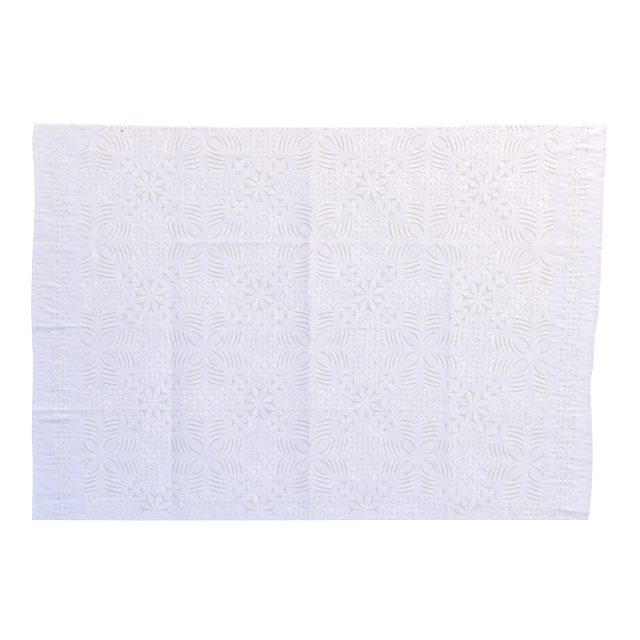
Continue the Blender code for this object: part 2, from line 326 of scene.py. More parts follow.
LEVEL_FIRST = Crease(Run.LEVEL, (
    (-1.22, 0.664, 0.0003), (-0.60, 0.668, 0.0007), (-0.10, 0.666, 0.0012),
    (0.06, 0.664, -0.0004), (0.46, 0.664, -0.0003), (0.56, 0.668, 0.0010),
    (0.80, 0.667, 0.0007), (0.92, 0.676, 0.0004), (0.98, 0.688, 0.0026), (1.22, 0.690, 0.0020),
), before=0.014, after=0.014, reach=0.06)
LEVEL_SECOND = Crease(Run.LEVEL, (
    (-1.22, 0.319, -0.0011), (-0.98, 0.319, -0.0011), (-0.86, 0.316, 0.0004),
    (-0.62, 0.315, 0.0007), (-0.56, 0.3160, 0.0021), (-0.30, 0.3165, 0.0020),
    (-0.10, 0.316, 0.0014), (0.00, 0.314, 0.0005), (0.24, 0.312, 0.0006),
    (0.46, 0.309, 0.0008), (0.90, 0.307, 0.0006), (0.96, 0.302, 0.0011), (1.22, 0.299, 0.0019),
), before=0.012, after=0.009, reach=0.06)
LEVEL_THIRD = Crease(Run.LEVEL, (
    (-1.22, -0.019, 0.0032), (-0.98, -0.019, 0.0026), (-0.90, -0.020, 0.0008),
    (-0.62, -0.020, 0.0007), (-0.54, -0.0215, -0.0006), (-0.12, -0.0220, -0.0006),
    (-0.02, -0.0250, 0.0007), (0.25, -0.0240, 0.0010), (0.46, -0.0240, 0.0008),
    (0.56, -0.0320, -0.0004), (0.90, -0.0370, -0.0003), (0.98, -0.0450, -0.0008),
    (1.22, -0.0470, -0.0011),
), before=0.006, after=0.009, reach=0.06)
LEVEL_FOURTH = Crease(Run.LEVEL, (
    (-1.22, -0.354, 0.0042), (-0.98, -0.353, 0.0038), (-0.88, -0.353, 0.0010),
    (-0.62, -0.3525, 0.0008), (-0.53, -0.358, -0.0006), (-0.36, -0.357, -0.0004),
    (-0.26, -0.350, 0.0009), (-0.08, -0.350, 0.0008), (0.02, -0.353, 0.0007),
    (0.44, -0.355, 0.0006), (0.60, -0.366, 0.0008), (0.90, -0.374, 0.0009),
    (0.97, -0.383, 0.0010), (1.22, -0.402, 0.0014),
), before=0.014, after=0.009, reach=0.06)
LEVEL_FIFTH = Crease(Run.LEVEL, (
    (-1.22, -0.722, -0.0024), (-1.06, -0.716, -0.0019), (-0.96, -0.708, -0.0014),
    (-0.62, -0.7086, -0.0007), (-0.54, -0.714, 0.0012), (-0.10, -0.715, 0.0010),
    (0.00, -0.717, 0.0002), (0.45, -0.725, 0.0002), (0.56, -0.733, 0.0007),
    (0.80, -0.740, 0.0010), (0.93, -0.749, 0.0018), (1.00, -0.755, 0.0034),
    (1.22, -0.767, 0.0050),
), before=0.012, after=0.020, reach=0.06)

# ----------------------------------------------------------------- outlines
LEFT_EDGE = GuideLine((
    (0.7926, -1.1388), (0.7406, -1.1472), (0.6446, -1.1436), (0.5006, -1.1392),
    (0.4046, -1.1412), (0.2126, -1.1508), (-0.0274, -1.1512), (-0.1234, -1.1468),
    (-0.2674, -1.1472), (-0.4594, -1.1510), (-0.5554, -1.1476), (-0.6514, -1.1472),
    (-0.7970, -1.1500),
), wobble=0.0006, seed=21)
RIGHT_EDGE = GuideLine((
    (0.7986, 1.1496), (0.7406, 1.1512), (0.5486, 1.1412), (0.3566, 1.1352),
    (0.1646, 1.1268), (0.0206, 1.1176), (-0.0754, 1.1028), (-0.1714, 1.1000),
    (-0.2194, 1.0900), (-0.3634, 1.0908), (-0.5074, 1.0944), (-0.6034, 1.0936),
    (-0.6994, 1.0884), (-0.7946, 1.0760),
), wobble=0.0006, seed=22)
LEFT_SEAM = GuideLine(((0.82, -0.9664), (-0.02, -0.9616), (-0.82, -0.9540)))
RIGHT_SEAM = GuideLine(((0.82, 0.9650), (0.085, 0.9330), (-0.435, 0.9060), (-0.82, 0.8910)))
TOP_EDGE = GuideLine((
    (-1.1388, 0.7956), (-0.8400, 0.7898), (-0.6500, 0.7852), (-0.4600, 0.7826),
    (0.2200, 0.7826), (0.5000, 0.7862), (0.6900, 0.7922), (0.8800, 0.7950),
    (1.0800, 0.7932), (1.1496, 0.8006),
), wobble=0.0005, seed=23)
BOTTOM_EDGE = GuideLine((
    (-1.1500, -0.7930), (-0.9000, -0.7942), (0.0000, -0.7938), (0.4000, -0.7930),
    (1.0760, -0.7926),
), wobble=0.0005, seed=24)

COVER_RELIEF = Relief(
    creases=(
        LEFT_TROUGH, MIDDLE_RIDGE, RIGHT_RIDGE,
        LEVEL_FIRST, LEVEL_SECOND, LEVEL_THIRD, LEVEL_FOURTH, LEVEL_FIFTH,
    ),
    pulls=(
        Pull((1.170, 0.790), (0.985, 0.696), 0.0040, 0.011),
        Pull((1.120, 0.590), (0.985, 0.560), 0.0013, 0.009),
        Pull((1.130, 0.268), (0.960, 0.254), 0.0011, 0.006),
        Pull((1.104, -0.056), (0.985, -0.150), 0.0010, 0.010),
        Pull((1.074, -0.190), (0.975, -0.290), 0.0013, 0.009),
        Pull((1.070, -0.620), (0.950, -0.560), 0.0016, 0.010),
        Pull((-1.150, 0.160), (-1.000, 0.128), 0.0014, 0.007),
        Pull((-1.150, 0.120), (-0.990, 0.062), 0.0016, 0.008),
        Pull((-1.150, 0.080), (-1.010, 0.010), 0.0014, 0.007),
        Pull((-1.128, 0.236), (-1.000, 0.262), 0.0012, 0.008),
        Pull((-1.160, -0.394), (-0.930, -0.382), 0.0046, 0.012),
        Pull((-1.132, -0.540), (-1.010, -0.500), 0.0014, 0.009),
    ),
    billows=(
        Rumple(seed=11, size_x=0.160, size_y=0.210, rise=0.0022),
        Rumple(seed=12, size_x=0.062, size_y=0.048, rise=0.0012),
        Gathers(
            (LEFT_SEAM, RIGHT_SEAM), Rumple(seed=41, size_x=0.036, size_y=0.0088, rise=0.0017),
        ),
    ),
)


@dataclass(frozen=True)
class EdgeFinish:
    """How a panel's edge is finished: its height at distances in from it."""

    profile: tuple[Pair, ...]       # distance in, height over the cloth
    stitch_line: float

    def lift(self, distance: np.ndarray) -> np.ndarray:
        """Height over the plain cloth at distances in, below zero where it turns down."""
        places, heights = zip(*self.profile)
        return np.interp(distance, places, heights)

    def insets(self) -> Row:
        """Distances in from the edge at which the cloth bends."""
        return tuple(place for place, _ in self.profile)


def hem(width: float) -> EdgeFinish:
    """A double-turned hem, rolled at the edge and drawn in along its stitches.

    Args:
        width: distance in from the edge of the line of stitches.

    Returns:
        The hem's finish.
    """
    return EdgeFinish((
        (0.0, TURNED_EDGE - UPPER_TOP), (0.0005, -0.0006), (0.0014, 0.0002), (0.0034, 0.0005),
        (width - 0.0020, 0.0005), (width, -0.0001), (width + 0.0020, 0.0001),
        (width + 0.0060, 0.0),
    ), width)


SIDE_HEM = hem(0.0150)
CROSS_HEM = hem(0.0110)
TOP_HEM = EdgeFinish((
    (0.0, TURNED_EDGE - UPPER_TOP), (0.0040, -0.0009), (0.0080, -0.0003), (0.0120, 0.0),
    (0.0180, 0.0001), (0.0240, 0.0),
), stitch_line=0.0140)
SEAM = EdgeFinish(((0.0, 0.0), (0.0034, 0.0), (0.0160, 0.0)), stitch_line=0.0034)


# ------------------------------------------------------------------ lattice
CREASE_INSETS = (0.0, 0.0018, 0.0060, 0.0135, 0.0270)


def inset_rows(first: Row, creases: int, last: Row) -> Table:
    """The distances beside two edges and beside the creases between them."""
    return (first, *([CREASE_INSETS] * creases), last)


@dataclass(frozen=True)
class Strand:
    """One line of a lattice, at a share of the way between two guides."""

    start: GuideLine
    end: GuideLine
    share: float
    shift: float

    def at(self, along: np.ndarray) -> np.ndarray:
        """Where the strand lies across the cover at places along it."""
        low = self.start.at(along)
        return low + self.share * (self.end.at(along) - low) + self.shift


@dataclass(frozen=True)
class Lattice:
    """Points where two families of lines cross, one following the other's guides."""

    upright_guides: tuple[GuideLine, ...]
    level_guides: tuple[GuideLine, ...]
    upright_insets: Table
    level_insets: Table
    spacing_x: float
    spacing_y: float
    rounds: int = 6                 # of finding each crossing from both its lines

    @staticmethod
    def strands(guides: tuple[GuideLine, ...], insets: Table, spacing: float) -> list[Strand]:
        """Lines along the guides and evenly between them.

        Args:
            guides: lines from left to right or from bottom to top.
            insets: for each guide, the distances of the lines beside it.
            spacing: widest distance between lines.

        Returns:
            The strands in order.
        """
        made = []
        for index, (start, end) in enumerate(zip(guides, guides[1:])):
            near, far = insets[index], insets[index + 1]
            made += [Strand(start, end, 0.0, inset) for inset in near]
            room = end.place(0.0) - start.place(0.0) - near[-1] - far[-1]
            steps = max(2, math.ceil(room / spacing))
            for step in range(1, steps):
                share = step / steps
                made.append(Strand(start, end, share, near[-1] * (1 - share) - far[-1] * share))
            made += [Strand(start, end, 1.0, -inset) for inset in reversed(far) if inset > 0]
        made.append(Strand(guides[-2], guides[-1], 1.0, 0.0))
        return made

    def nodes(self) -> tuple[np.ndarray, np.ndarray]:
        """The lattice's points.

        Returns:
            Their x and their y, in columns from the left and rows from the bottom.
        """
        columns = self.strands(self.upright_guides, self.upright_insets, self.spacing_x)
        rows = self.strands(self.level_guides, self.level_insets, self.spacing_y)
        x = np.zeros((len(columns), len(rows)))
        y = np.zeros_like(x)
        for _ in range(self.rounds):
            for index, column in enumerate(columns):
                x[index] = column.at(y[index])
            for index, row in enumerate(rows):
                y[:, index] = row.at(x[:, index])
        return x, y


# -------------------------------------------------------------------- slits
QUARTERS = ((1, 1), (1, -1), (-1, 1), (-1, -1))
SLIT_SWELL = 3                   # a slit keeps its width for longer where this is higher
SLIT_POINT = 0.6                 # and its ends are sharper where this is higher
MITRE_LIMIT = 0.6                # cosine past which a widened corner isn't drawn further out


@dataclass(frozen=True)
class Arc:
    """A slit along a bowed line between two points of the chart."""

    inner: Pair
    outer: Pair
    bow: float
    width: float = 0.0064
    samples: int = 9

    def spine(self, flip_x: int, flip_y: int) -> Points:
        """Points along the middle of the slit.

        Args:
            flip_x: -1 to mirror the slit from left to right, or else 1.
            flip_y: -1 to mirror it from top to bottom, or else 1.

        Returns:
            Points of the chart.
        """
        start, end = np.array(self.inner), np.array(self.outer)
        share = np.linspace(0.0, 1.0, self.samples)[:, None]
        run = end - start
        normal = np.array((-run[1], run[0])) / np.hypot(*run)
        line = start + run * share + normal * self.bow * 4.0 * share * (1.0 - share)
        return line * (flip_x, flip_y)


def along_spine(spine: Points, knots: np.ndarray, shares: np.ndarray) -> Points:
    """Points at shares of the way along a spine, whose own points are at the knots."""
    return np.stack([np.interp(shares, knots, spine[:, axis]) for axis in (0, 1)], axis=1)


def ribbon(spine: Points, width: float) -> Points:
    """Outline of a slit along a spine, full in the middle and closed at its ends.

    Args:
        spine: points along its middle.
        width: its width in the middle.

    Returns:
        The outline, anticlockwise.
    """
    share = np.linspace(0.0, 1.0, len(spine))[1:-1, None]
    half = width / 2.0 * (1.0 - np.abs(2.0 * share - 1.0) ** SLIT_SWELL) ** SLIT_POINT
    heading = unit(np.gradient(spine, axis=0))[1:-1]
    aside = np.stack((-heading[:, 1], heading[:, 0]), axis=1) * half
    inner = spine[1:-1]
    return np.concatenate((spine[:1], inner - aside, spine[-1:], (inner + aside)[::-1]))


def widened(loop: Points, by: float) -> Points:
    """An anticlockwise loop moved outwards all round.

    Args:
        loop: the loop's points.
        by: how far its sides move.

    Returns:
        As many points, further out.
    """
    before = unit(loop - np.roll(loop, 1, axis=0))
    after = unit(np.roll(loop, -1, axis=0) - loop)
    normal_before = np.stack((before[:, 1], -before[:, 0]), axis=1)
    normal_after = np.stack((after[:, 1], -after[:, 0]), axis=1)
    mitre = unit(normal_before + normal_after)
    cosine = (mitre * normal_before).sum(axis=1, keepdims=True)
    reach = by / np.maximum(cosine, MITRE_LIMIT)
    return loop + mitre * reach


def anticlockwise(loop: Points) -> Points:
    """Turn a loop to run anticlockwise.

    Args:
        loop: a closed outline.

    Returns:
        The same points, in that order.
    """
    x, y = loop[:, 0], loop[:, 1]
    area = np.sum(x * np.roll(y, -1) - np.roll(x, -1) * y)
    return loop if area > 0 else loop[::-1]


def mirrored(half: list[Pair]) -> Points:
    """A loop from the points on one side of the x axis and their mirror image.

    Args:
        half: points from the loop's start on the axis to its far side.

    Returns:
        The whole loop.
    """
    side = np.array(half)
    off_axis = side[side[:, 1] > 0.0]
    return np.concatenate((side, off_axis[::-1] * (1.0, -1.0)))


class Slant(Enum):
    """Which way a short slit leans."""

    RISING = 1
    FALLING = -1

    @classmethod
    def in_cell(cls, column: int, row: int) -> "Slant":
        """The slant in a cell of a field of diamonds."""
        return cls.FALLING if (column + row) % 2 == 0 else cls.RISING


@dataclass(frozen=True)
class Chart:
    """The chart of motifs and how it lies on the cloth.

    Stars stand on whole steps of the pitch and flowers half a step between
    them both ways.  The columns close up towards the bottom, and the rows
    dip on the right.  The cloth also gives a little, in tables by place.
    """

    pitch_across: float = 0.4464
    pitch_along: float = 0.4295
    straight_x: float = -0.240
    top_row_y: float = 0.5368
    lean: float = 0.0473
    sag_start: float = 0.40
    sag: float = 0.055
    give_columns: Row = (-0.69, -0.24, 0.20, 0.65, 0.875)
    give_rows: Row = (-0.32, 0.107, 0.537, 0.752)
    give_across: Table = (
        (0.0022, -0.0008, -0.0034, -0.0045, 0.0060), (0.0015, -0.0014, -0.0032, -0.0028, 0.0095),
        (0.0055, -0.0002, 0.0005, 0.0022, 0.0100), (0.0055, -0.0002, 0.0005, 0.0022, -0.0040),
    )
    give_along: Table = (
        (-0.0006, -0.0026, -0.0014, -0.0085, -0.0085),
        (-0.0042, -0.0012, -0.0010, -0.0055, -0.0055),
        (0.0018, 0.0015, 0.0045, 0.0085, 0.0085), (0.0018, 0.0015, 0.0045, 0.0085, 0.0255),
    )
    first_column: int = -3
    last_column: int = 4
    first_row: int = -2
    last_row: int = 5

    def on_cloth(self, points: Points) -> Points:
        """Where points of the chart lie on the cover.

        Args:
            points: across from the straight column, and along on the cover.

        Returns:
            Their x and y.
        """
        x = self.straight_x + points[:, 0] * (1.0 - self.lean * (self.top_row_y - points[:, 1]))
        y = points[:, 1] - self.sag * np.maximum(0.0, x - self.sag_start)
        return np.stack((
            x + self.give(self.give_across, x, y), y + self.give(self.give_along, x, y),
        ), axis=1)

    def give(self, rows: Table, x: np.ndarray, y: np.ndarray) -> np.ndarray:
        """How far the cloth gives one way.

        Args:
            rows: the give at each of the tables' columns, in rows from the bottom.
            x: places across the cover.
            y: places along it.

        Returns:
            Distances, in the shape of x.
        """
        levels = np.stack([np.interp(x, self.give_columns, row) for row in rows])
        place = np.interp(y, self.give_rows, range(len(rows)))
        low = np.clip(np.floor(place).astype(int), 0, len(rows) - 2)
        index = np.arange(len(place))
        share = place - low
        return levels[low, index] * (1.0 - share) + levels[low + 1, index] * share

    def places(self, step_x: float, step_y: float) -> list[Points]:
        """Centres of a motif that repeats at every pitch.

        Args:
            step_x: the motif's share of a pitch to the right of a star.
            step_y: its share of a pitch below a star.

        Returns:
            A centre on the chart for each column and row.
        """
        return [
            np.array((
                (column + step_x) * self.pitch_across,
                self.top_row_y - (row + step_y) * self.pitch_along,
            ))
            for column in range(self.first_column, self.last_column + 1)
            for row in range(self.first_row, self.last_row + 1)
        ]


@dataclass(frozen=True)
class Flower:
    """A four-leaved flower with bowed slits echoing its leaves."""

    quadrant: tuple[Arc, ...] = (
        Arc((0.0090, 0.0275), (0.0640, 0.0715), 0.0135, 0.0067),
        Arc((0.0230, 0.0110), (0.0755, 0.0605), -0.0138, 0.0067),
        Arc((0.0080, 0.0690), (0.0860, 0.0925), 0.0060),
        Arc((0.0080, 0.0905), (0.0860, 0.1100), 0.0045),
        Arc((0.0080, 0.1110), (0.0850, 0.1275), 0.0047),
        Arc((0.0070, 0.1290), (0.0850, 0.1450), 0.0046),
        Arc((0.0640, 0.0090), (0.0955, 0.0780), -0.0078),
        Arc((0.0915, 0.0100), (0.1125, 0.0780), -0.0055),
        Arc((0.1100, 0.0085), (0.1295, 0.0780), -0.0055),
        Arc((0.1290, 0.0095), (0.1475, 0.0780), -0.0045),
    )

    def spines(self) -> list[tuple[Points, float]]:
        """Middle lines and widths of all its slits, round its centre."""
        return [(arc.spine(*flip), arc.width) for arc in self.quadrant for flip in QUARTERS]


@dataclass(frozen=True)
class Star:
    """An eight-petalled star: a forked slit between each two petals."""

    petals: int = 8
    stem: float = 0.0155
    tip: float = 0.0720
    spread: float = math.radians(17.6)

    def loops(self) -> list[Points]:
        """Outline the forked slits.

        Returns:
            Their outlines, round the star's centre.
        """
        half = [
            (self.stem, 0.0), (0.0220, 0.0024), (0.0300, 0.0029), (0.0400, 0.0031),
            (0.0474, 0.0042), (0.0534, 0.0096), (0.0612, 0.0168),
            (self.tip * math.cos(self.spread), self.tip * math.sin(self.spread)),
            (0.0641, 0.0122), (0.0594, 0.0052), (0.0578, 0.0),
        ]
        fork = mirrored(half)
        turns = [2.0 * math.pi * petal / self.petals for petal in range(self.petals)]
        return [spun(fork, math.cos(turn), math.sin(turn)) for turn in turns]


@dataclass(frozen=True)
class Square:
    """A small four-petalled square: a wedge with a bar at its outer end each way."""

    from_star: float = 0.082
    outer: float = 0.0323
    half_bar: float = 0.0182

    def loops(self) -> list[Points]:
        """Outline the four wedges.

        Returns:
            Their outlines, round the square's centre.
        """
        half = [
            (0.0108, 0.0), (0.0165, 0.0018), (0.0215, 0.0029), (0.0254, 0.0058),
            (0.0277, 0.0108), (0.0289, self.half_bar),
            (self.outer - 0.0006, self.half_bar - 0.0018), (self.outer, 0.0060), (self.outer, 0.0),
        ]
        wedge = mirrored(half)
        return [spun(wedge, *quarter) for quarter in ((1, 0), (0, 1), (-1, 0), (0, -1))]


@dataclass(frozen=True)
class Dashes:
    """Short pointed slits that stand as diamonds between the motifs."""

    length: float = 0.0212
    width: float = 0.0041
    cells: int = 20                 # in one pitch, both ways
    bridge: int = 3                 # cells on each side of a star's axes that hold them
    star_clear: float = 0.086
    square_clear: Pair = (0.042, 0.110)
    by_star: tuple[Pair, ...] = ((0.0135, 0.0830), (0.0830, 0.0120))
    below_flower: Pair = (0.0180, 0.0670)
    beside_flower: Pair = (0.0710, 0.0160)
    samples: int = 5

    def spine(self, centre: Points, slant: Slant) -> Points:
        """Middle line of one short slit.

        Args:
            centre: its centre.
            slant: the way it leans.

        Returns:
            Points along it.
        """
        reach = self.length / 2.0 / math.sqrt(2.0)
        share = np.linspace(-1.0, 1.0, self.samples)[:, None]
        return centre + share * reach * np.array((1.0, slant.value))

    def around_star(self, chart: Chart) -> list[tuple[Points, Slant]]:
        """Centres and slants of those that lie nearest to one star.

        Args:
            chart: the chart whose pitch they share.

        Returns:
            Centres from the star's centre, with their slants.
        """
        cell_x, cell_y = chart.pitch_across / self.cells, chart.pitch_along / self.cells
        near, far = self.square_clear
        made = []
        for column in range(-self.cells // 2, self.cells // 2):
            for row in range(-self.cells // 2, self.cells // 2):
                x, y = (column + 0.5) * cell_x, (row + 0.5) * cell_y
                on_axis = -self.bridge <= column < self.bridge or -self.bridge <= row < self.bridge
                in_square = near < abs(x) < far and near < abs(y) < far
                if on_axis and not in_square and math.hypot(x, y) > self.star_clear:
                    made.append((np.array((x, y)), Slant.in_cell(column, row)))
        for side, end in QUARTERS:
            made += [(np.array((side * x, end * y)), Slant(side * end)) for x, y in self.by_star]
        return made

    @staticmethod
    def between_flowers(x: float, y: float) -> list[tuple[Points, Slant]]:
        """Four that stand at the ends of two flowers' bowed slits.

        Args:
            x: how far they stand to the side of the point between the flowers.
            y: how far they stand above or below it.

        Returns:
            Centres from that point, with their slants.
        """
        return [
            (np.array((side * x, end * y)), Slant(-side * end)) for side, end in QUARTERS
        ]


@dataclass(frozen=True)
class HandCut:
    """How far a slit that is cut by hand strays from its chalk line."""

    shift: float = 0.0012
    turn: float = math.radians(3.5)
    stretch: float = 0.07

    def stray(self, loop: Points, chance: np.random.Generator) -> Points:
        """The slit as it is really cut.

        Args:
            loop: its outline in chalk.
            chance: the source of the small errors.

        Returns:
            The outline, a little moved, turned and stretched.
        """
        across, along, turn, stretch = chance.uniform(-1.0, 1.0, 4)
        centre = loop.mean(axis=0)
        turned = spun(loop - centre, math.cos(turn * self.turn), math.sin(turn * self.turn))
        moved = self.shift * np.array((across, along))
        return centre + turned * (1.0 + self.stretch * stretch) + moved


@dataclass
class Guarded:
    """Points that others keep their distance from, sorted into square cells."""

    distance: float                 # also the cells' side
    cells: dict[tuple[int, int], list[Pair]] = field(default_factory=dict)

    def cell(self, x: float, y: float) -> tuple[int, int]:
        """The column and the row of the cell that a point is in."""
        return math.floor(x / self.distance), math.floor(y / self.distance)

    def add(self, points: Points) -> None:
        """Guard more points."""
        for x, y in points.tolist():
            self.cells.setdefault(self.cell(x, y), []).append((x, y))

    def clear(self, x: float, y: float) -> bool:
        """Whether a point keeps its distance from them all.

        Args:
            x: its place across the cover.
            y: its place along it.

        Returns:
            True where none is nearer.
        """
        column, row = self.cell(x, y)
        return all(
            math.hypot(other_x - x, other_y - y) >= self.distance
            for near_column in (column - 1, column, column + 1)
            for near_row in (row - 1, row, row + 1)
            for other_x, other_y in self.cells.get((near_column, near_row), ())
        )


@dataclass
class SlitLayer:
    """The slits cut through one panel, none of them too near another."""

    seed: int
    hand: HandCut = HandCut()
    clearance: float = 0.0040
    loops: list[Points] = field(default_factory=list)

    def __post_init__(self) -> None:
        """Start the panel's own run of small errors."""
        self.chance = np.random.default_rng(self.seed)
        self.taken = Guarded(self.clearance)

    def add(self, loop: Points) -> None:
        """Cut a slit, unless it comes too near another.

        Args:
            loop: its outline.
        """
        loop = self.hand.stray(loop, self.chance)
        if all(self.taken.clear(x, y) for x, y in loop.tolist()):
            self.loops.append(anticlockwise(loop))
            self.taken.add(loop)


# ------------------------------------------------------------------- panels
class Side(Enum):
    """An edge of a panel."""

    LEFT = "left"
    RIGHT = "right"
    TOP = "top"
    BOTTOM = "bottom"


@dataclass
class Panel:
    """A piece of upper cloth with its edges, its slits and its own puckers."""

    name: str
    slot: str
    left: GuideLine
    right: GuideLine
    left_finish: EdgeFinish
    right_finish: EdgeFinish
    puckers: Rumple
    spacing_x: float
    spacing_y: float
    top: GuideLine = TOP_EDGE
    bottom: GuideLine = BOTTOM_EDGE
    slit_margin: float = 0.0046
    taut: float = 0.012             # puckers die away over this distance from an edge
    normal_step: float = 0.0006
    steepest: float = 0.38          # the hems are shaded no steeper than this
    relief: Relief = COVER_RELIEF
    dashes: Dashes = Dashes()

    @property
    def finishes(self) -> dict[Side, EdgeFinish]:
        """How each edge is finished."""
        return dict(zip(Side, (self.left_finish, self.right_finish, TOP_HEM, CROSS_HEM)))

    def distances(self, x: np.ndarray, y: np.ndarray) -> tuple[np.ndarray, ...]:
        """Distances in from the left, right, upper and lower edges, below zero outside."""
        return x - self.left.at(y), self.right.at(y) - x, self.top.at(x) - y, y - self.bottom.at(x)

    def surface(self, x: np.ndarray, y: np.ndarray) -> np.ndarray:
        """Height of the panel's face, before its slits.

        Args:
            x: places across the cover.
            y: places along it.

        Returns:
            Heights over the floor.
        """
        inside = self.distances(x, y)
        finishes = self.finishes.values()
        lift = sum(finish.lift(distance) for finish, distance in zip(finishes, inside))
        loose = np.clip(np.minimum.reduce(inside) / self.taut, 0.0, 1.0)
        lift = np.maximum(UPPER_TOP + lift, TURNED_EDGE)
        return self.relief.at(x, y) + lift + self.puckers.centred(x, y) * loose

    def normals(self, x: np.ndarray, y: np.ndarray) -> np.ndarray:
        """Directions that the panel's face looks in.

        Args:
            x: places across the cover.
            y: places along it.

        Returns:
            Rows of unit vectors.
        """
        step = self.normal_step
        slopes = np.stack((
            self.surface(x - step, y) - self.surface(x + step, y),
            self.surface(x, y - step) - self.surface(x, y + step),
        ), axis=1) / (2.0 * step)
        gentle = np.clip(slopes, -self.steepest, self.steepest)
        return unit(np.column_stack((gentle, np.ones_like(x))))

    def holds(self, points: Points) -> np.ndarray:
        """Find which points lie on the panel, clear of its seams and hems.

        Args:
            points: points on the cover.

        Returns:
            True or False for each.
        """
        left, right, top, bottom = self.distances(points[:, 0], points[:, 1])
        side = min(self.slit_margin, CROSS_HEM.stitch_line)
        return (left > side) & (right > side) & (top > side) & (bottom > side)

    def crossed_creases(self, run: Run) -> list[GuideLine]:
        """Crease lines that run over the panel.

        Args:
            run: the way they run.

        Returns:
            The lines, from the left or from the bottom.
        """
        lines = self.relief.lines(run)
        if run is Run.LEVEL:
            return lines
        low, high = self.left.place(0.0), self.right.place(0.0)
        return [line for line in lines if low < line.place(0.0) < high]

    def lattice(self) -> Lattice:
        """Lay out the panel's own points.

        Returns:
            Their lattice, which follows the edges and the creases.
        """
        uprights = self.crossed_creases(Run.UPRIGHT)
        levels = self.crossed_creases(Run.LEVEL)
        return Lattice(
            (self.left, *uprights, self.right), (self.bottom, *levels, self.top),
            inset_rows(self.left_finish.insets(), len(uprights), self.right_finish.insets()),
            inset_rows(CROSS_HEM.insets(), len(levels), TOP_HEM.insets()),
            self.spacing_x, self.spacing_y,
        )

    def cut_dash(self, layer: SlitLayer, spine: Points) -> None:
        """Cut a short slit along a spine, if it lies whole on the panel."""
        if self.holds(spine).all():
            layer.add(ribbon(spine, self.dashes.width))

    def slits(self) -> SlitLayer:
        """The slits cut through the panel, which each kind of panel gives."""
        raise NotImplementedError

    def build(self) -> bpy.types.Object:
        """Make the panel as one sheet, with its slits open."""
        return CutSheet(self, self.slits()).build()


@dataclass
class FieldPanel(Panel):
    """The wide middle panel, cut through with stars, flowers and short slits."""

    chart: Chart = Chart()
    flower: Flower = Flower()
    star: Star = Star()
    square: Square = Square()
    shortest: float = 0.011         # of a slit that is cut short at an edge
    finer: int = 8                  # a spine is looked at in this many times its points
    seed: int = 51

    def cut_short(self, spine: Points) -> Points | None:
        """A spine's longest stretch that lies on the panel.

        Args:
            spine: points on the cover.

        Returns:
            As many points along that stretch, or None where too little is left.
        """
        inside = self.holds(spine)
        if inside.all():
            return spine
        knots = np.linspace(0.0, 1.0, len(spine))
        share = np.linspace(0.0, 1.0, self.finer * len(spine))
        kept = np.flatnonzero(self.holds(along_spine(spine, knots, share)))
        if len(kept) < 2:
            return None
        longest = max(np.split(kept, np.flatnonzero(np.diff(kept) > 1) + 1), key=len)
        wanted = np.linspace(share[longest[0]], share[longest[-1]], len(spine))
        short = along_spine(spine, knots, wanted)
        return short if np.hypot(*(short[-1] - short[0])) > self.shortest else None

    def slits(self) -> SlitLayer:
        """Cut all slits of the field, the larger motifs first.

        Returns:
            The slits.
        """
        layer = SlitLayer(self.seed)
        chart = self.chart
        for centre in chart.places(0.5, 0.5):
            for spine, width in self.flower.spines():
                placed = self.cut_short(chart.on_cloth(centre + spine))
                if placed is not None:
                    layer.add(ribbon(placed, width))
        corners = [np.array(quarter) * self.square.from_star for quarter in QUARTERS]
        loops = self.star.loops()
        loops += [corner + wedge for corner in corners for wedge in self.square.loops()]
        for centre in chart.places(0.0, 0.0):
            for loop in loops:
                placed = chart.on_cloth(centre + loop)
                if self.holds(placed).all():
                    layer.add(placed)
        for centre in chart.places(0.0, 0.0):
            self.cut_dashes(layer, centre, self.dashes.around_star(chart))
        for step_x, step_y, corner in (
            (0.5, 0.0, self.dashes.below_flower), (0.0, 0.5, self.dashes.beside_flower),
        ):
            for centre in chart.places(step_x, step_y):
                self.cut_dashes(layer, centre, self.dashes.between_flowers(*corner))
        return layer

    def cut_dashes(
        self, layer: SlitLayer, centre: Points, dashes: list[tuple[Points, Slant]]
    ) -> None:
        """Cut short slits at places from a centre on the chart."""
        for place, slant in dashes:
            self.cut_dash(layer, self.chart.on_cloth(self.dashes.spine(centre + place, slant)))


BORDER_DASHES = Dashes(length=0.0198, width=0.0045)


@dataclass
class BorderStrip(Panel):
    """A side strip with one upright band of short slits in diamonds."""

    band_from_seam: float = 0.076
    half_height: float = 0.85       # of the band, run past the hems
    cell: float = 0.0206
    outer_columns: tuple[int, int] = (-2, 1)
    seed: int = 52
    seam_side: int = 1              # 1 where the seam is the strip's right edge
    dashes: Dashes = BORDER_DASHES

    def slits(self) -> SlitLayer:
        """Cut the band: two whole columns, and outer ones in three rows of each four.

        Returns:
            The slits.
        """
        layer = SlitLayer(self.seed + self.seam_side)
        seam = self.right if self.seam_side > 0 else self.left
        rows = int(self.half_height / self.cell)
        for row in range(-rows, rows):
            for column in range(-2, 2):
                if column in self.outer_columns and row % 4 == 3:
                    continue
                y = (row + 0.5) * self.cell
                x = seam.place(y) - self.seam_side * self.band_from_seam
                centre = np.array((x + (column + 0.5) * self.cell, y))
                self.cut_dash(layer, self.dashes.spine(centre, Slant.in_cell(column, row)))
        return layer


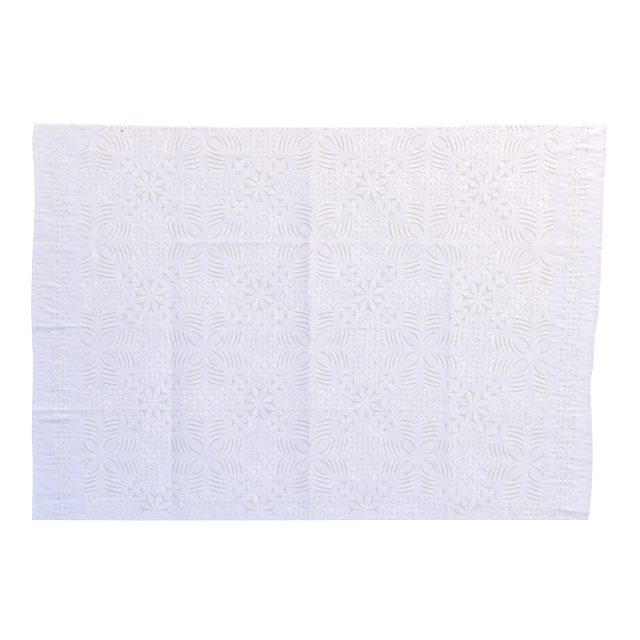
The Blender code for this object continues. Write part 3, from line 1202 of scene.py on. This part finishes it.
@dataclass
class CutSheet:
    """A panel's sheet: its lattice and its slits joined into one net."""

    panel: Panel
    layer: SlitLayer
    keep_off: float = 0.0036        # free points stay this far from a slit's points
    merge_within: float = 1e-7

    def net(self) -> tuple[Points, np.ndarray, np.ndarray, np.ndarray]:
        """Join the outline, the slits and the free points into triangles.

        Returns:
            The points, the triangles, and masks of the points on a slit's cut
            edge and on its rolled ring.
        """
        grid = np.stack(self.panel.lattice().nodes(), axis=-1)
        outline = np.concatenate((grid[:-1, 0], grid[-1, :-1], grid[:0:-1, -1], grid[0, :0:-1]))
        cuts = self.layer.loops
        rolls = [widened(loop, CUT_ROLL_WIDTH) for loop in cuts]
        rings = np.concatenate(cuts + rolls)
        guarded = Guarded(self.keep_off)
        guarded.add(rings)
        inner = grid[1:-1, 1:-1].reshape(-1, 2).tolist()
        free = [point for point in inner if guarded.clear(*point)]
        points = np.concatenate((outline, rings, free))
        cut_start, cut_end = len(outline), len(outline) + len(rings) // 2
        roll_end = len(outline) + len(rings)
        first = cut_start
        faces, edges = [list(range(first))], []
        for loop in cuts + rolls:
            ends = range(first, first + len(loop))
            if first < cut_end:
                faces.append(list(ends))
            else:
                edges += zip(ends, (*ends[1:], ends[0]))
            first += len(loop)
        flat, _, triangles, sources, _, face_sources = delaunay_2d_cdt(
            [Vector(point) for point in points], edges, faces, 0, self.merge_within, True
        )
        kept = [face for face, source in zip(triangles, face_sources) if source == [0]]
        on_cut = np.array([any(cut_start <= i < cut_end for i in ids) for ids in sources])
        on_roll = np.array([any(cut_end <= i < roll_end for i in ids) for ids in sources])
        return np.array([tuple(at) for at in flat]), np.array(kept), on_cut, on_roll & ~on_cut

    @staticmethod
    def from_slits(flat: Points, on_cut: np.ndarray) -> np.ndarray:
        """How far the net's points lie from the nearest slit.

        Args:
            flat: the net's points.
            on_cut: a mask of those on a cut edge.

        Returns:
            Their distances.
        """
        cuts = np.flatnonzero(on_cut)
        tree = KDTree(len(cuts))
        for index in cuts:
            tree.insert((*flat[index], 0.0), int(index))
        tree.balance()
        return np.array([tree.find((*point, 0.0))[2] for point in flat], dtype=np.float32)

    def build(self) -> bpy.types.Object:
        """Make the sheet.

        Returns:
            The panel's object.
        """
        flat, triangles, on_cut, on_roll = self.net()
        x, y = flat[:, 0], flat[:, 1]
        z = self.panel.surface(x, y)
        z = np.where(on_cut, z - CUT_DROP, np.where(on_roll, z + CUT_ROLL, z))
        used, order = np.unique(triangles, return_inverse=True)
        places = np.stack((x, y, z), axis=1)[used]
        sheet = mesh_object(self.panel.name, places, order.reshape(-1, 3))
        normals = np.where(on_cut[:, None], 0.0, self.panel.normals(x, y))[used]
        sheet.data.normals_split_custom_set_from_vertices(normals.tolist())
        away = sheet.data.attributes.new("from_slit", "FLOAT", "POINT")
        away.data.foreach_set("value", self.from_slits(flat, on_cut)[used])
        LOG.info(
            "%s: %d slits, %d triangles", self.panel.name, len(self.layer.loops), len(triangles)
        )
        return sheet


def mesh_object(name: str, places: np.ndarray, faces: np.ndarray) -> bpy.types.Object:
    """Make a smooth mesh and its object.

    Args:
        name: the object's name.
        places: rows of x, y and z.
        faces: rows of point numbers, each face anticlockwise from outside.

    Returns:
        The object, linked to the scene.
    """
    mesh = bpy.data.meshes.new(name)
    mesh.from_pydata(places.tolist(), [], faces.tolist())
    mesh.shade_smooth()
    return linked(name, mesh)


@dataclass
class GroundCloth:
    """The whole cloth underneath, which shows through every slit."""

    name: str = "ground_cloth_sheet"
    thickness: float = 0.0014
    inset: float = 0.0009           # it stops inside the rolled hems
    top_inset: float = 0.0064       # and short of the soft top hem
    edge_insets: Pair = (0.0, 0.010)
    spacing_x: float = 0.020
    spacing_y: float = 0.0056
    slack: float = 0.0016           # it rounds off each crease over this distance
    relief: Relief = COVER_RELIEF

    def build(self) -> bpy.types.Object:
        """Make the cloth over the creases, closed all round.

        Returns:
            Its object.
        """
        uprights, levels = self.relief.lines(Run.UPRIGHT), self.relief.lines(Run.LEVEL)
        x, y = Lattice(
            (LEFT_EDGE, *uprights, RIGHT_EDGE), (BOTTOM_EDGE, *levels, TOP_EDGE),
            inset_rows(self.edge_insets, len(uprights), self.edge_insets),
            inset_rows(self.edge_insets, len(levels), self.edge_insets),
            self.spacing_x, self.spacing_y,
        ).nodes()
        x[0] += self.inset
        x[-1] -= self.inset
        y[:, 0] += self.inset
        y[:, -1] -= self.top_inset
        steps = (-self.slack, 0.0, self.slack)
        z = GROUND_TOP + np.minimum.reduce([
            self.relief.at(x + step_x, y + step_y) for step_x in steps for step_y in steps
        ])
        columns, rows = x.shape
        index = np.arange(columns * rows).reshape(columns, rows)
        faces = np.stack(
            (index[:-1, :-1], index[1:, :-1], index[1:, 1:], index[:-1, 1:]), axis=-1
        ).reshape(-1, 4)
        cloth = mesh_object(self.name, np.stack((x, y, z), axis=-1).reshape(-1, 3), faces)
        wall = cloth.modifiers.new("thickness", "SOLIDIFY")
        wall.thickness = self.thickness
        wall.offset = -1.0
        LOG.info("%s: %d faces", self.name, len(faces))
        return cloth


# -------------------------------------------------------------------- nodes
FLOAT, VECTOR, GEOMETRY = "NodeSocketFloat", "NodeSocketVector", "NodeSocketGeometry"


def node_group(
    name: str, kind: str, inputs: dict[str, str], outputs: dict[str, str]
) -> bpy.types.NodeTree:
    """Start a node group.

    Args:
        name: the group's name.
        kind: the type name of its tree.
        inputs: its inputs' names and socket types.
        outputs: its outputs' names and socket types.

    Returns:
        The empty group.
    """
    group = bpy.data.node_groups.new(name, kind)
    for in_out, sockets in (("INPUT", inputs), ("OUTPUT", outputs)):
        for socket_name, socket_type in sockets.items():
            group.interface.new_socket(socket_name, in_out=in_out, socket_type=socket_type)
    return group


class NodeBench:
    """Adds nodes to a tree and joins them."""

    def __init__(self, tree: bpy.types.NodeTree) -> None:
        """Work on the tree that the nodes go into."""
        self.tree = tree

    def add(self, kind: str, **values: object) -> bpy.types.Node:
        """Add a node.

        Args:
            kind: the node's type name.
            values: its properties, and the values or sources of its inputs, each
                by its name or, where names repeat, as in_ and its number.

        Returns:
            The node.
        """
        node = self.tree.nodes.new(kind)
        for name, value in values.items():
            if name not in node.inputs and not name.startswith("in_"):
                setattr(node, name, value)
        for name, value in values.items():
            if name.startswith("in_"):
                self.feed(node.inputs[int(name[3:])], value)
            elif name in node.inputs:
                self.feed(next(
                    socket for socket in node.inputs if socket.name == name and socket.enabled
                ), value)
        return node

    def maths(self, operation: str, *values: object) -> bpy.types.Node:
        """Add a node that reckons with single numbers."""
        inputs = {f"in_{index}": value for index, value in enumerate(values)}
        return self.add("ShaderNodeMath", operation=operation, **inputs)

    def ramp(self, value: object, low: float, high: float) -> bpy.types.Node:
        """Add a node that rises from 0 to 1 as the value goes from low to high."""
        return self.add("ShaderNodeMapRange", Value=value, in_1=low, in_2=high)

    def mixed(self, share: object, first: object, second: object) -> bpy.types.NodeSocket:
        """Mix two colours.

        Args:
            share: share of the second colour.
            first: a colour or its source.
            second: the other.

        Returns:
            The mixed colour's output.
        """
        mix = self.add("ShaderNodeMix", data_type="RGBA")
        self.feed(mix.inputs[0], share)
        for socket, value in ((mix.inputs[6], first), (mix.inputs[7], second)):
            self.feed(socket, (*value, 1.0) if isinstance(value, tuple) else value)
        return mix.outputs[2]

    def feed(self, socket: bpy.types.NodeSocket, value: object) -> None:
        """Join a socket to a node or an output, or set its value.

        Args:
            socket: the input.
            value: a node, an output or a plain value.
        """
        if isinstance(value, bpy.types.Node):
            value = next(output for output in value.outputs if output.enabled)
        if isinstance(value, bpy.types.NodeSocket):
            self.tree.links.new(value, socket)
        else:
            socket.default_value = value


# ----------------------------------------------------------------- stitches
@dataclass(frozen=True)
class StitchTree:
    """Running stitches along a line, as a Geometry Nodes tree."""

    pitch: float = 0.0052
    length: float = 0.0034
    thread: float = 0.00055
    lean: float = math.radians(7.0)
    seed: int = 5
    segments: int = 6               # round one stitch
    rings: int = 3                  # along it

    def tree(self) -> bpy.types.NodeTree:
        """Build the tree.

        Returns:
            A tree with a named input for each size and the thread's material.
        """
        tree = node_group("running_stitches", "GeometryNodeTree", {
            "Geometry": GEOMETRY, "Pitch": FLOAT, "Stitch Length": FLOAT, "Thread": FLOAT,
            "Lean": FLOAT, "Seed": "NodeSocketInt", "Material": "NodeSocketMaterial",
        }, {"Geometry": GEOMETRY})
        bench = NodeBench(tree)
        given = bench.add("NodeGroupInput").outputs
        curve = bench.add("GeometryNodeMeshToCurve", Mesh=given["Geometry"])
        even = bench.add(
            "GeometryNodeResampleCurve", mode="LENGTH", Curve=curve, Length=given["Pitch"]
        )
        bead = bench.add(
            "GeometryNodeMeshUVSphere", Segments=self.segments, Rings=self.rings, Radius=0.5
        )
        smooth = bench.add("GeometryNodeSetShadeSmooth", Geometry=bead)
        size = bench.add(
            "ShaderNodeCombineXYZ", X=given["Stitch Length"], Y=given["Thread"], Z=given["Thread"]
        )
        stitch = bench.add("GeometryNodeTransform", Geometry=smooth, Scale=size)
        tangent = bench.add("GeometryNodeInputTangent")
        facing = bench.add("FunctionNodeAlignRotationToVector", axis="X", Vector=tangent)
        most = bench.add("ShaderNodeCombineXYZ", Z=given["Lean"])
        least = bench.add("ShaderNodeVectorMath", operation="SCALE", Vector=most, Scale=-1.0)
        random_lean = bench.add(
            "FunctionNodeRandomValue", data_type="FLOAT_VECTOR", Min=least, Max=most,
            Seed=given["Seed"],
        )
        lean = bench.add("FunctionNodeEulerToRotation", Euler=random_lean)
        turned = bench.add("FunctionNodeRotateRotation", Rotation=facing, **{"Rotate By": lean})
        placed = bench.add(
            "GeometryNodeInstanceOnPoints", Points=even, Instance=stitch, Rotation=turned
        )
        real = bench.add("GeometryNodeRealizeInstances", Geometry=placed)
        dyed = bench.add("GeometryNodeSetMaterial", Geometry=real, Material=given["Material"])
        bench.add("NodeGroupOutput", Geometry=dyed)
        return tree


@dataclass
class Sewing:
    """All lines of running stitches on the cover."""

    panels: list[Panel]
    name: str = "running_stitches"
    step: float = 0.006
    proud: float = 0.0001
    upright_span: Pair = (-0.78, 0.775)
    level_y: float = 0.78           # a level line's ends are found at this height
    end_gap: float = 0.004

    def line_on(self, panel: Panel, side: Side) -> np.ndarray:
        """Points of one line of stitches.

        Args:
            panel: the panel that it is sewn through.
            side: the edge that it follows.

        Returns:
            Rows of x, y and z.
        """
        inset = panel.finishes[side].stitch_line
        if side in (Side.LEFT, Side.RIGHT):
            y = np.arange(*self.upright_span, self.step)
            x = panel.left.at(y) + inset if side is Side.LEFT else panel.right.at(y) - inset
        else:
            level = self.level_y if side is Side.TOP else -self.level_y
            start, end = panel.left.place(level), panel.right.place(level)
            x = np.arange(start + self.end_gap, end - self.end_gap, self.step)
            y = panel.top.at(x) - inset if side is Side.TOP else panel.bottom.at(x) + inset
        return np.stack((x, y, panel.surface(x, y) + self.proud), axis=1)

    def build(self, thread: bpy.types.Material) -> bpy.types.Object:
        """Sew every hem and both sides of each seam.

        Args:
            thread: the thread's material.

        Returns:
            The stitches as one plain mesh.
        """
        lines = [self.line_on(panel, side) for panel in self.panels for side in Side]
        edges, first = [], 0
        for line in lines:
            edges += [(index, index + 1) for index in range(first, first + len(line) - 1)]
            first += len(line)
        guide_mesh = bpy.data.meshes.new("stitch_lines")
        guide_mesh.from_pydata(np.concatenate(lines).tolist(), edges, [])
        guide = linked("stitch_lines", guide_mesh)
        sizes = StitchTree()
        tree = sizes.tree()
        modifier = guide.modifiers.new("stitches", "NODES")
        modifier.node_group = tree
        values = {
            "Pitch": sizes.pitch, "Stitch Length": sizes.length, "Thread": sizes.thread,
            "Lean": sizes.lean, "Seed": sizes.seed, "Material": thread,
        }
        for item in tree.interface.items_tree:
            if item.in_out == "INPUT" and item.name in values:
                modifier[item.identifier] = values[item.name]
        return solid_result(guide, self.name)


def solid_result(source: bpy.types.Object, name: str) -> bpy.types.Object:
    """Replace an object with the plain mesh that its modifiers make.

    Args:
        source: the object, which is removed.
        name: the new object's name.

    Returns:
        The new object, with no modifiers.
    """
    graph = bpy.context.evaluated_depsgraph_get()
    mesh = bpy.data.meshes.new_from_object(source.evaluated_get(graph), depsgraph=graph)
    mesh.name = name
    made = linked(name, mesh)
    bpy.data.objects.remove(source)
    LOG.info("%s: %d faces", name, len(mesh.polygons))
    return made


# ----------------------------------------------------------------- finishes
SLUB_STRETCHES = ((14.0, 900.0, 1.0), (1100.0, 18.0, 1.0))     # along the weft and the warp
SLUB_RANGE = (0.56, 0.74)       # of the noise, from a plain thread to a thick one
TINT_RANGE = (0.32, 0.68)


def weave_group() -> bpy.types.NodeTree:
    """Plain weave with thicker threads here and there.

    Returns:
        A group with the threads' height.
    """
    group = node_group(
        "plain_weave", "ShaderNodeTree", {"Place": VECTOR, "Threads": FLOAT, "Slub": FLOAT},
        {"Height": FLOAT},
    )
    bench = NodeBench(group)
    given = bench.add("NodeGroupInput").outputs
    scaled = bench.add(
        "ShaderNodeVectorMath", operation="SCALE", Vector=given["Place"], Scale=given["Threads"]
    )
    split = bench.add("ShaderNodeSeparateXYZ", Vector=scaled).outputs
    waves = [
        bench.maths("SINE", bench.maths("MULTIPLY", split[axis], math.pi)) for axis in ("X", "Y")
    ]
    raised = bench.maths("MULTIPLY_ADD", bench.maths("MULTIPLY", *waves), 0.5, 0.5)
    streaks = []
    for stretch in SLUB_STRETCHES:
        drawn = bench.add("ShaderNodeMapping", Vector=given["Place"], Scale=stretch)
        noise = bench.add("ShaderNodeTexNoise", Vector=drawn, Scale=1.0, Detail=1.0)
        streaks.append(bench.ramp(noise, *SLUB_RANGE))
    weighted = bench.maths("MULTIPLY", bench.maths("MAXIMUM", *streaks), given["Slub"])
    bench.add("NodeGroupOutput", Height=bench.maths("ADD", raised, weighted))
    return group


def tint_group() -> bpy.types.NodeTree:
    """Soft patches where the cloth has washed a little lighter or darker.

    Returns:
        A group with a mask from 0 to 1.
    """
    group = node_group(
        "wash_tint", "ShaderNodeTree", {"Place": VECTOR, "Patch": FLOAT}, {"Mask": FLOAT}
    )
    bench = NodeBench(group)
    given = bench.add("NodeGroupInput").outputs
    broad = bench.add(
        "ShaderNodeTexNoise", Vector=given["Place"], Scale=given["Patch"], Detail=4.0,
        Roughness=0.62,
    )
    bench.add("NodeGroupOutput", Mask=bench.ramp(broad, *TINT_RANGE))
    return group


@dataclass(frozen=True)
class DarkSpot:
    """A small round spot on the cloth."""

    place: Pair
    radius: float
    colour: Triple
    core: float = 0.45              # share of the radius that has its full colour

    def mask(self, bench: NodeBench, place: object) -> bpy.types.Node:
        """A mask that is 1 on the spot.

        Args:
            bench: where the nodes go.
            place: the coordinates' source.

        Returns:
            The node that gives the mask.
        """
        level = bench.add(
            "ShaderNodeVectorMath", operation="MULTIPLY", in_0=place, in_1=(1.0, 1.0, 0.0)
        )
        away = bench.add(
            "ShaderNodeVectorMath", operation="DISTANCE", in_0=level, in_1=(*self.place, 0.0)
        )
        return bench.ramp(away.outputs["Value"], self.radius, self.radius * self.core)


@dataclass(frozen=True)
class CottonFinish:
    """The finish of one cotton cloth."""

    name: str
    light: Triple
    dark: Triple
    threads: float                  # to the metre
    slub: float
    patch: float                    # patches of tint to the metre
    roughness: float
    sheen: float
    bump: float                     # height of the weave, in metres
    # lighter colour round each slit: the whiter double turned cloth, and a painted highlight for
    # the rolled rim that catches the light
    turned_tint_and_highlight: Triple | None = None
    dark_spots: tuple[DarkSpot, ...] = ()
    between: float = 0.955          # of the dark colour: painted shade down between the threads
    smoother: float = 0.05          # where the wash has left the tint dark
    rougher: float = 0.04           # and where it has left it light
    specular: float = 0.22
    sheen_roughness: float = 0.55

    def material(self, weave: bpy.types.NodeTree, tint: bpy.types.NodeTree) -> bpy.types.Material:
        """Make the cloth's material.

        Args:
            weave: the weave group.
            tint: the tint group.

        Returns:
            The material.
        """
        material = bpy.data.materials.new(self.name)
        material.use_nodes = True
        tree = material.node_tree
        bench = NodeBench(tree)
        place = bench.add("ShaderNodeTexCoord").outputs["Object"]
        height = bench.add(
            "ShaderNodeGroup", node_tree=weave, Place=place, Threads=self.threads, Slub=self.slub
        )
        mask = bench.add("ShaderNodeGroup", node_tree=tint, Place=place, Patch=self.patch)
        colour = bench.mixed(mask, self.dark, self.light)
        # Painted shade: the dark colour, darker still, where the weave is low between the threads.
        painted_thread_shade = tuple(self.between * value for value in self.dark)
        colour = bench.mixed(bench.maths("MULTIPLY", height, 0.5), painted_thread_shade, colour)
        # Painted highlight round each slit, for its turned rim catching the light, together with
        # the double cloth's own whiteness.
        if self.turned_tint_and_highlight:
            away = bench.add("ShaderNodeAttribute", attribute_name="from_slit").outputs["Fac"]
            colour = bench.mixed(bench.ramp(away, TURNED_WIDTH, 0.0), colour, self.turned_tint_and_highlight)
        for dark_spot in self.dark_spots:
            colour = bench.mixed(dark_spot.mask(bench, place), colour, dark_spot.colour)
        rough = bench.add(
            "ShaderNodeMapRange", Value=mask,
            in_3=self.roughness - self.smoother, in_4=self.roughness + self.rougher,
        )
        raised = bench.add("ShaderNodeBump", Strength=1.0, Distance=self.bump, Height=height)
        shader = tree.nodes["Principled BSDF"].inputs
        for name, value in {
            "Base Color": colour, "Roughness": rough, "Normal": raised, "Metallic": 0.0,
            "Specular IOR Level": self.specular, "Sheen Weight": self.sheen,
            "Sheen Roughness": self.sheen_roughness,
        }.items():
            bench.feed(shader[name], value)
        return material


# Cream ground cotton, darkened beyond its own colour as painted shade for the slits that it shows
# through.
GROUND_COTTON_AND_SLIT_SHADE = CottonFinish(
    "ground_cotton", light=(0.815, 0.793, 0.771), dark=(0.797, 0.775, 0.753), threads=1500.0,
    slub=0.5, patch=5.0, roughness=0.90, sheen=0.05, bump=0.00005,
)
FIELD_COTTON = CottonFinish(
    "field_cotton", light=(0.918, 0.904, 0.942), dark=(0.900, 0.886, 0.926), threads=1900.0,
    slub=0.4, patch=6.0, roughness=0.86, sheen=0.08, bump=0.00005,
    # turned rims: whiter double cloth with a painted highlight
    turned_tint_and_highlight=(0.975, 0.965, 0.985),
    # a small dark navy stain near the upper left
    dark_spots=(DarkSpot((-0.7900, 0.7630), 0.0046, (0.050, 0.045, 0.060)),),
)
BORDER_COTTON = CottonFinish(
    "border_cotton", light=(0.905, 0.898, 0.953), dark=(0.887, 0.880, 0.937), threads=1900.0,
    slub=0.5, patch=7.0, roughness=0.86, sheen=0.08, bump=0.00005,
    # turned rims: whiter double cloth with a painted highlight
    turned_tint_and_highlight=(0.975, 0.965, 0.985),
    # a darker grey spot on the left strip, where the third crease meets its edge
    dark_spots=(DarkSpot((-1.1300, -0.0300), 0.0150, (0.770, 0.775, 0.790)),),
)
SEWING_THREAD = CottonFinish(
    "sewing_thread", light=(0.915, 0.900, 0.935), dark=(0.895, 0.882, 0.920), threads=3000.0,
    slub=0.0, patch=40.0, roughness=0.70, sheen=0.10, bump=0.00002,
)


# ------------------------------------------------------------------- studio
@dataclass(frozen=True)
class SoftLight:
    """A square area light aimed at a point of the floor."""

    name: str
    place: Triple
    aim: Triple
    size: float
    power: float
    colour: Triple

    def build(self) -> None:
        """Make the light."""
        data = bpy.data.lights.new(self.name, "AREA")
        data.shape = "SQUARE"
        data.size = self.size
        data.energy = self.power
        data.color = self.colour
        lamp = linked(self.name, data)
        lamp.visible_camera = False
        lamp.location = self.place
        heading = Vector(self.aim) - Vector(self.place)
        lamp.rotation_euler = heading.to_track_quat("-Z", "Y").to_euler()


@dataclass(frozen=True)
class Studio:
    """A pale floor, soft lights and a camera straight above the cover."""

    view_width: float = 2.56        # of the floor that the camera sees
    view_centre: Pair = (0.002, 0.0066)
    lens: float = 50.0
    sensor: float = 36.0
    floor_side: float = 14.0
    floor_drop: float = 0.0004      # how far it lies under the cover
    floor_colour: Triple = (0.96, 0.96, 0.96)
    floor_glow: float = 0.55
    ambient: Triple = (0.4304, 0.4054, 0.3966)
    lights: tuple[SoftLight, ...] = (
        SoftLight("key", (5.39, 6.42, 5.45), (0.0, 0.0, 0.0), 2.4, 838.6, (1.0, 0.924, 0.762)),
        SoftLight("fill", (-1.8, -3.2, 4.5), (-0.65, -1.6, 0.0), 1.4, 98.9, (0.0, 0.270, 1.0)),
        SoftLight("side", (-1.3, 1.1, 0.9), (-1.04, 0.55, 0.0), 0.4, 0.74, (1.0, 0.743, 0.622)),
    )

    def floor(self) -> None:
        """Make the pale floor."""
        half = self.floor_side / 2.0
        signs = ((-1, -1, 0), (1, -1, 0), (1, 1, 0), (-1, 1, 0))
        plane = mesh_object("pale_floor", np.array(signs) * half, np.array([[0, 1, 2, 3]]))
        plane.location.z = -self.floor_drop
        material = bpy.data.materials.new("pale_floor")
        material.use_nodes = True
        shader = material.node_tree.nodes["Principled BSDF"].inputs
        for name, value in {
            "Base Color": (*self.floor_colour, 1.0), "Roughness": 0.9, "Specular IOR Level": 0.1,
            "Emission Color": (1.0, 1.0, 1.0, 1.0), "Emission Strength": self.floor_glow,
        }.items():
            shader[name].default_value = value
        plane.data.materials.append(material)

    def camera(self) -> None:
        """Hang the camera over the cover, looking straight down."""
        data = bpy.data.cameras.new("camera")
        data.lens = self.lens
        data.sensor_width = self.sensor
        data.sensor_fit = "HORIZONTAL"
        camera = linked("camera", data)
        height = self.view_width * self.lens / self.sensor
        camera.location = (*self.view_centre, height + UPPER_TOP)
        bpy.context.scene.camera = camera

    def build(self) -> None:
        """Set up the studio."""
        scene = bpy.context.scene
        scene.view_settings.view_transform = "Standard"
        world = bpy.data.worlds.new("studio")
        scene.world = world
        world.use_nodes = True
        background = world.node_tree.nodes["Background"]
        background.inputs["Color"].default_value = (*self.ambient, 1.0)
        background.inputs["Strength"].default_value = 1.0
        self.floor()
        self.camera()
        for light in self.lights:
            light.build()


# -------------------------------------------------------------------- quilt
FIELD_PUCKERS = Rumple(seed=31, size_x=0.015, size_y=0.013, rise=0.0009)
BORDER_PUCKERS = Rumple(seed=42, size_x=0.014, size_y=0.011, rise=0.0008)


@dataclass
class Quilt:
    """The whole cover, dressed and tied to the solids that it stands for."""

    field_panel: FieldPanel
    left_strip: BorderStrip
    right_strip: BorderStrip
    ground: GroundCloth

    @staticmethod
    def dress(
        piece: bpy.types.Object, finish: bpy.types.Material, slot: str, node: str | None
    ) -> None:
        """Give a piece its finish and tie it to its solid.

        Args:
            piece: the piece.
            finish: its material.
            slot: the record's slot that the finish comes from; not used.
            node: the solid that it replaces, if it replaces one.
        """
        piece.data.materials.clear()
        piece.data.materials.append(finish)
        if node:
            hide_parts(node)
        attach(piece, BODY)

    def build(self) -> None:
        weave, tint = weave_group(), tint_group()
        finishes = {
            finish.name: finish.material(weave, tint)
            for finish in (GROUND_COTTON_AND_SLIT_SHADE, FIELD_COTTON, BORDER_COTTON, SEWING_THREAD)
        }
        ground = self.ground.build()
        self.dress(ground, finishes["ground_cotton"], "ground_cotton", "ground_cloth")
        for panel, node in (
            (self.field_panel, "cutwork_field"), (self.left_strip, "border_left"),
            (self.right_strip, "border_right"),
        ):
            sheet = panel.build()
            self.dress(sheet, finishes[panel.slot], panel.slot, node)
        stitches = Sewing([self.field_panel, self.left_strip, self.right_strip]).build(
            finishes["sewing_thread"]
        )
        self.dress(stitches, finishes["sewing_thread"], "field_cotton", None)


def main() -> None:
    """Set up the studio and make the quilt, logging how many faces each piece has."""
    logging.basicConfig(level=logging.INFO, format="%(name)s: %(message)s")
    Studio().build()
    quilt = Quilt(
        field_panel=FieldPanel(
            "field_panel", "field_cotton", LEFT_SEAM, RIGHT_SEAM, SEAM, SEAM, FIELD_PUCKERS,
            spacing_x=0.020, spacing_y=0.020,
        ),
        left_strip=BorderStrip(
            "left_strip", "border_cotton", LEFT_EDGE, LEFT_SEAM, SIDE_HEM, SEAM, BORDER_PUCKERS,
            spacing_x=0.012, spacing_y=0.0042,
        ),
        right_strip=BorderStrip(
            "right_strip", "border_cotton", RIGHT_SEAM, RIGHT_EDGE, SEAM, SIDE_HEM, BORDER_PUCKERS,
            spacing_x=0.012, spacing_y=0.0042, seam_side=-1,
        ),
        ground=GroundCloth(),
    )
    quilt.build()


if __name__ == "__main__":
    main()
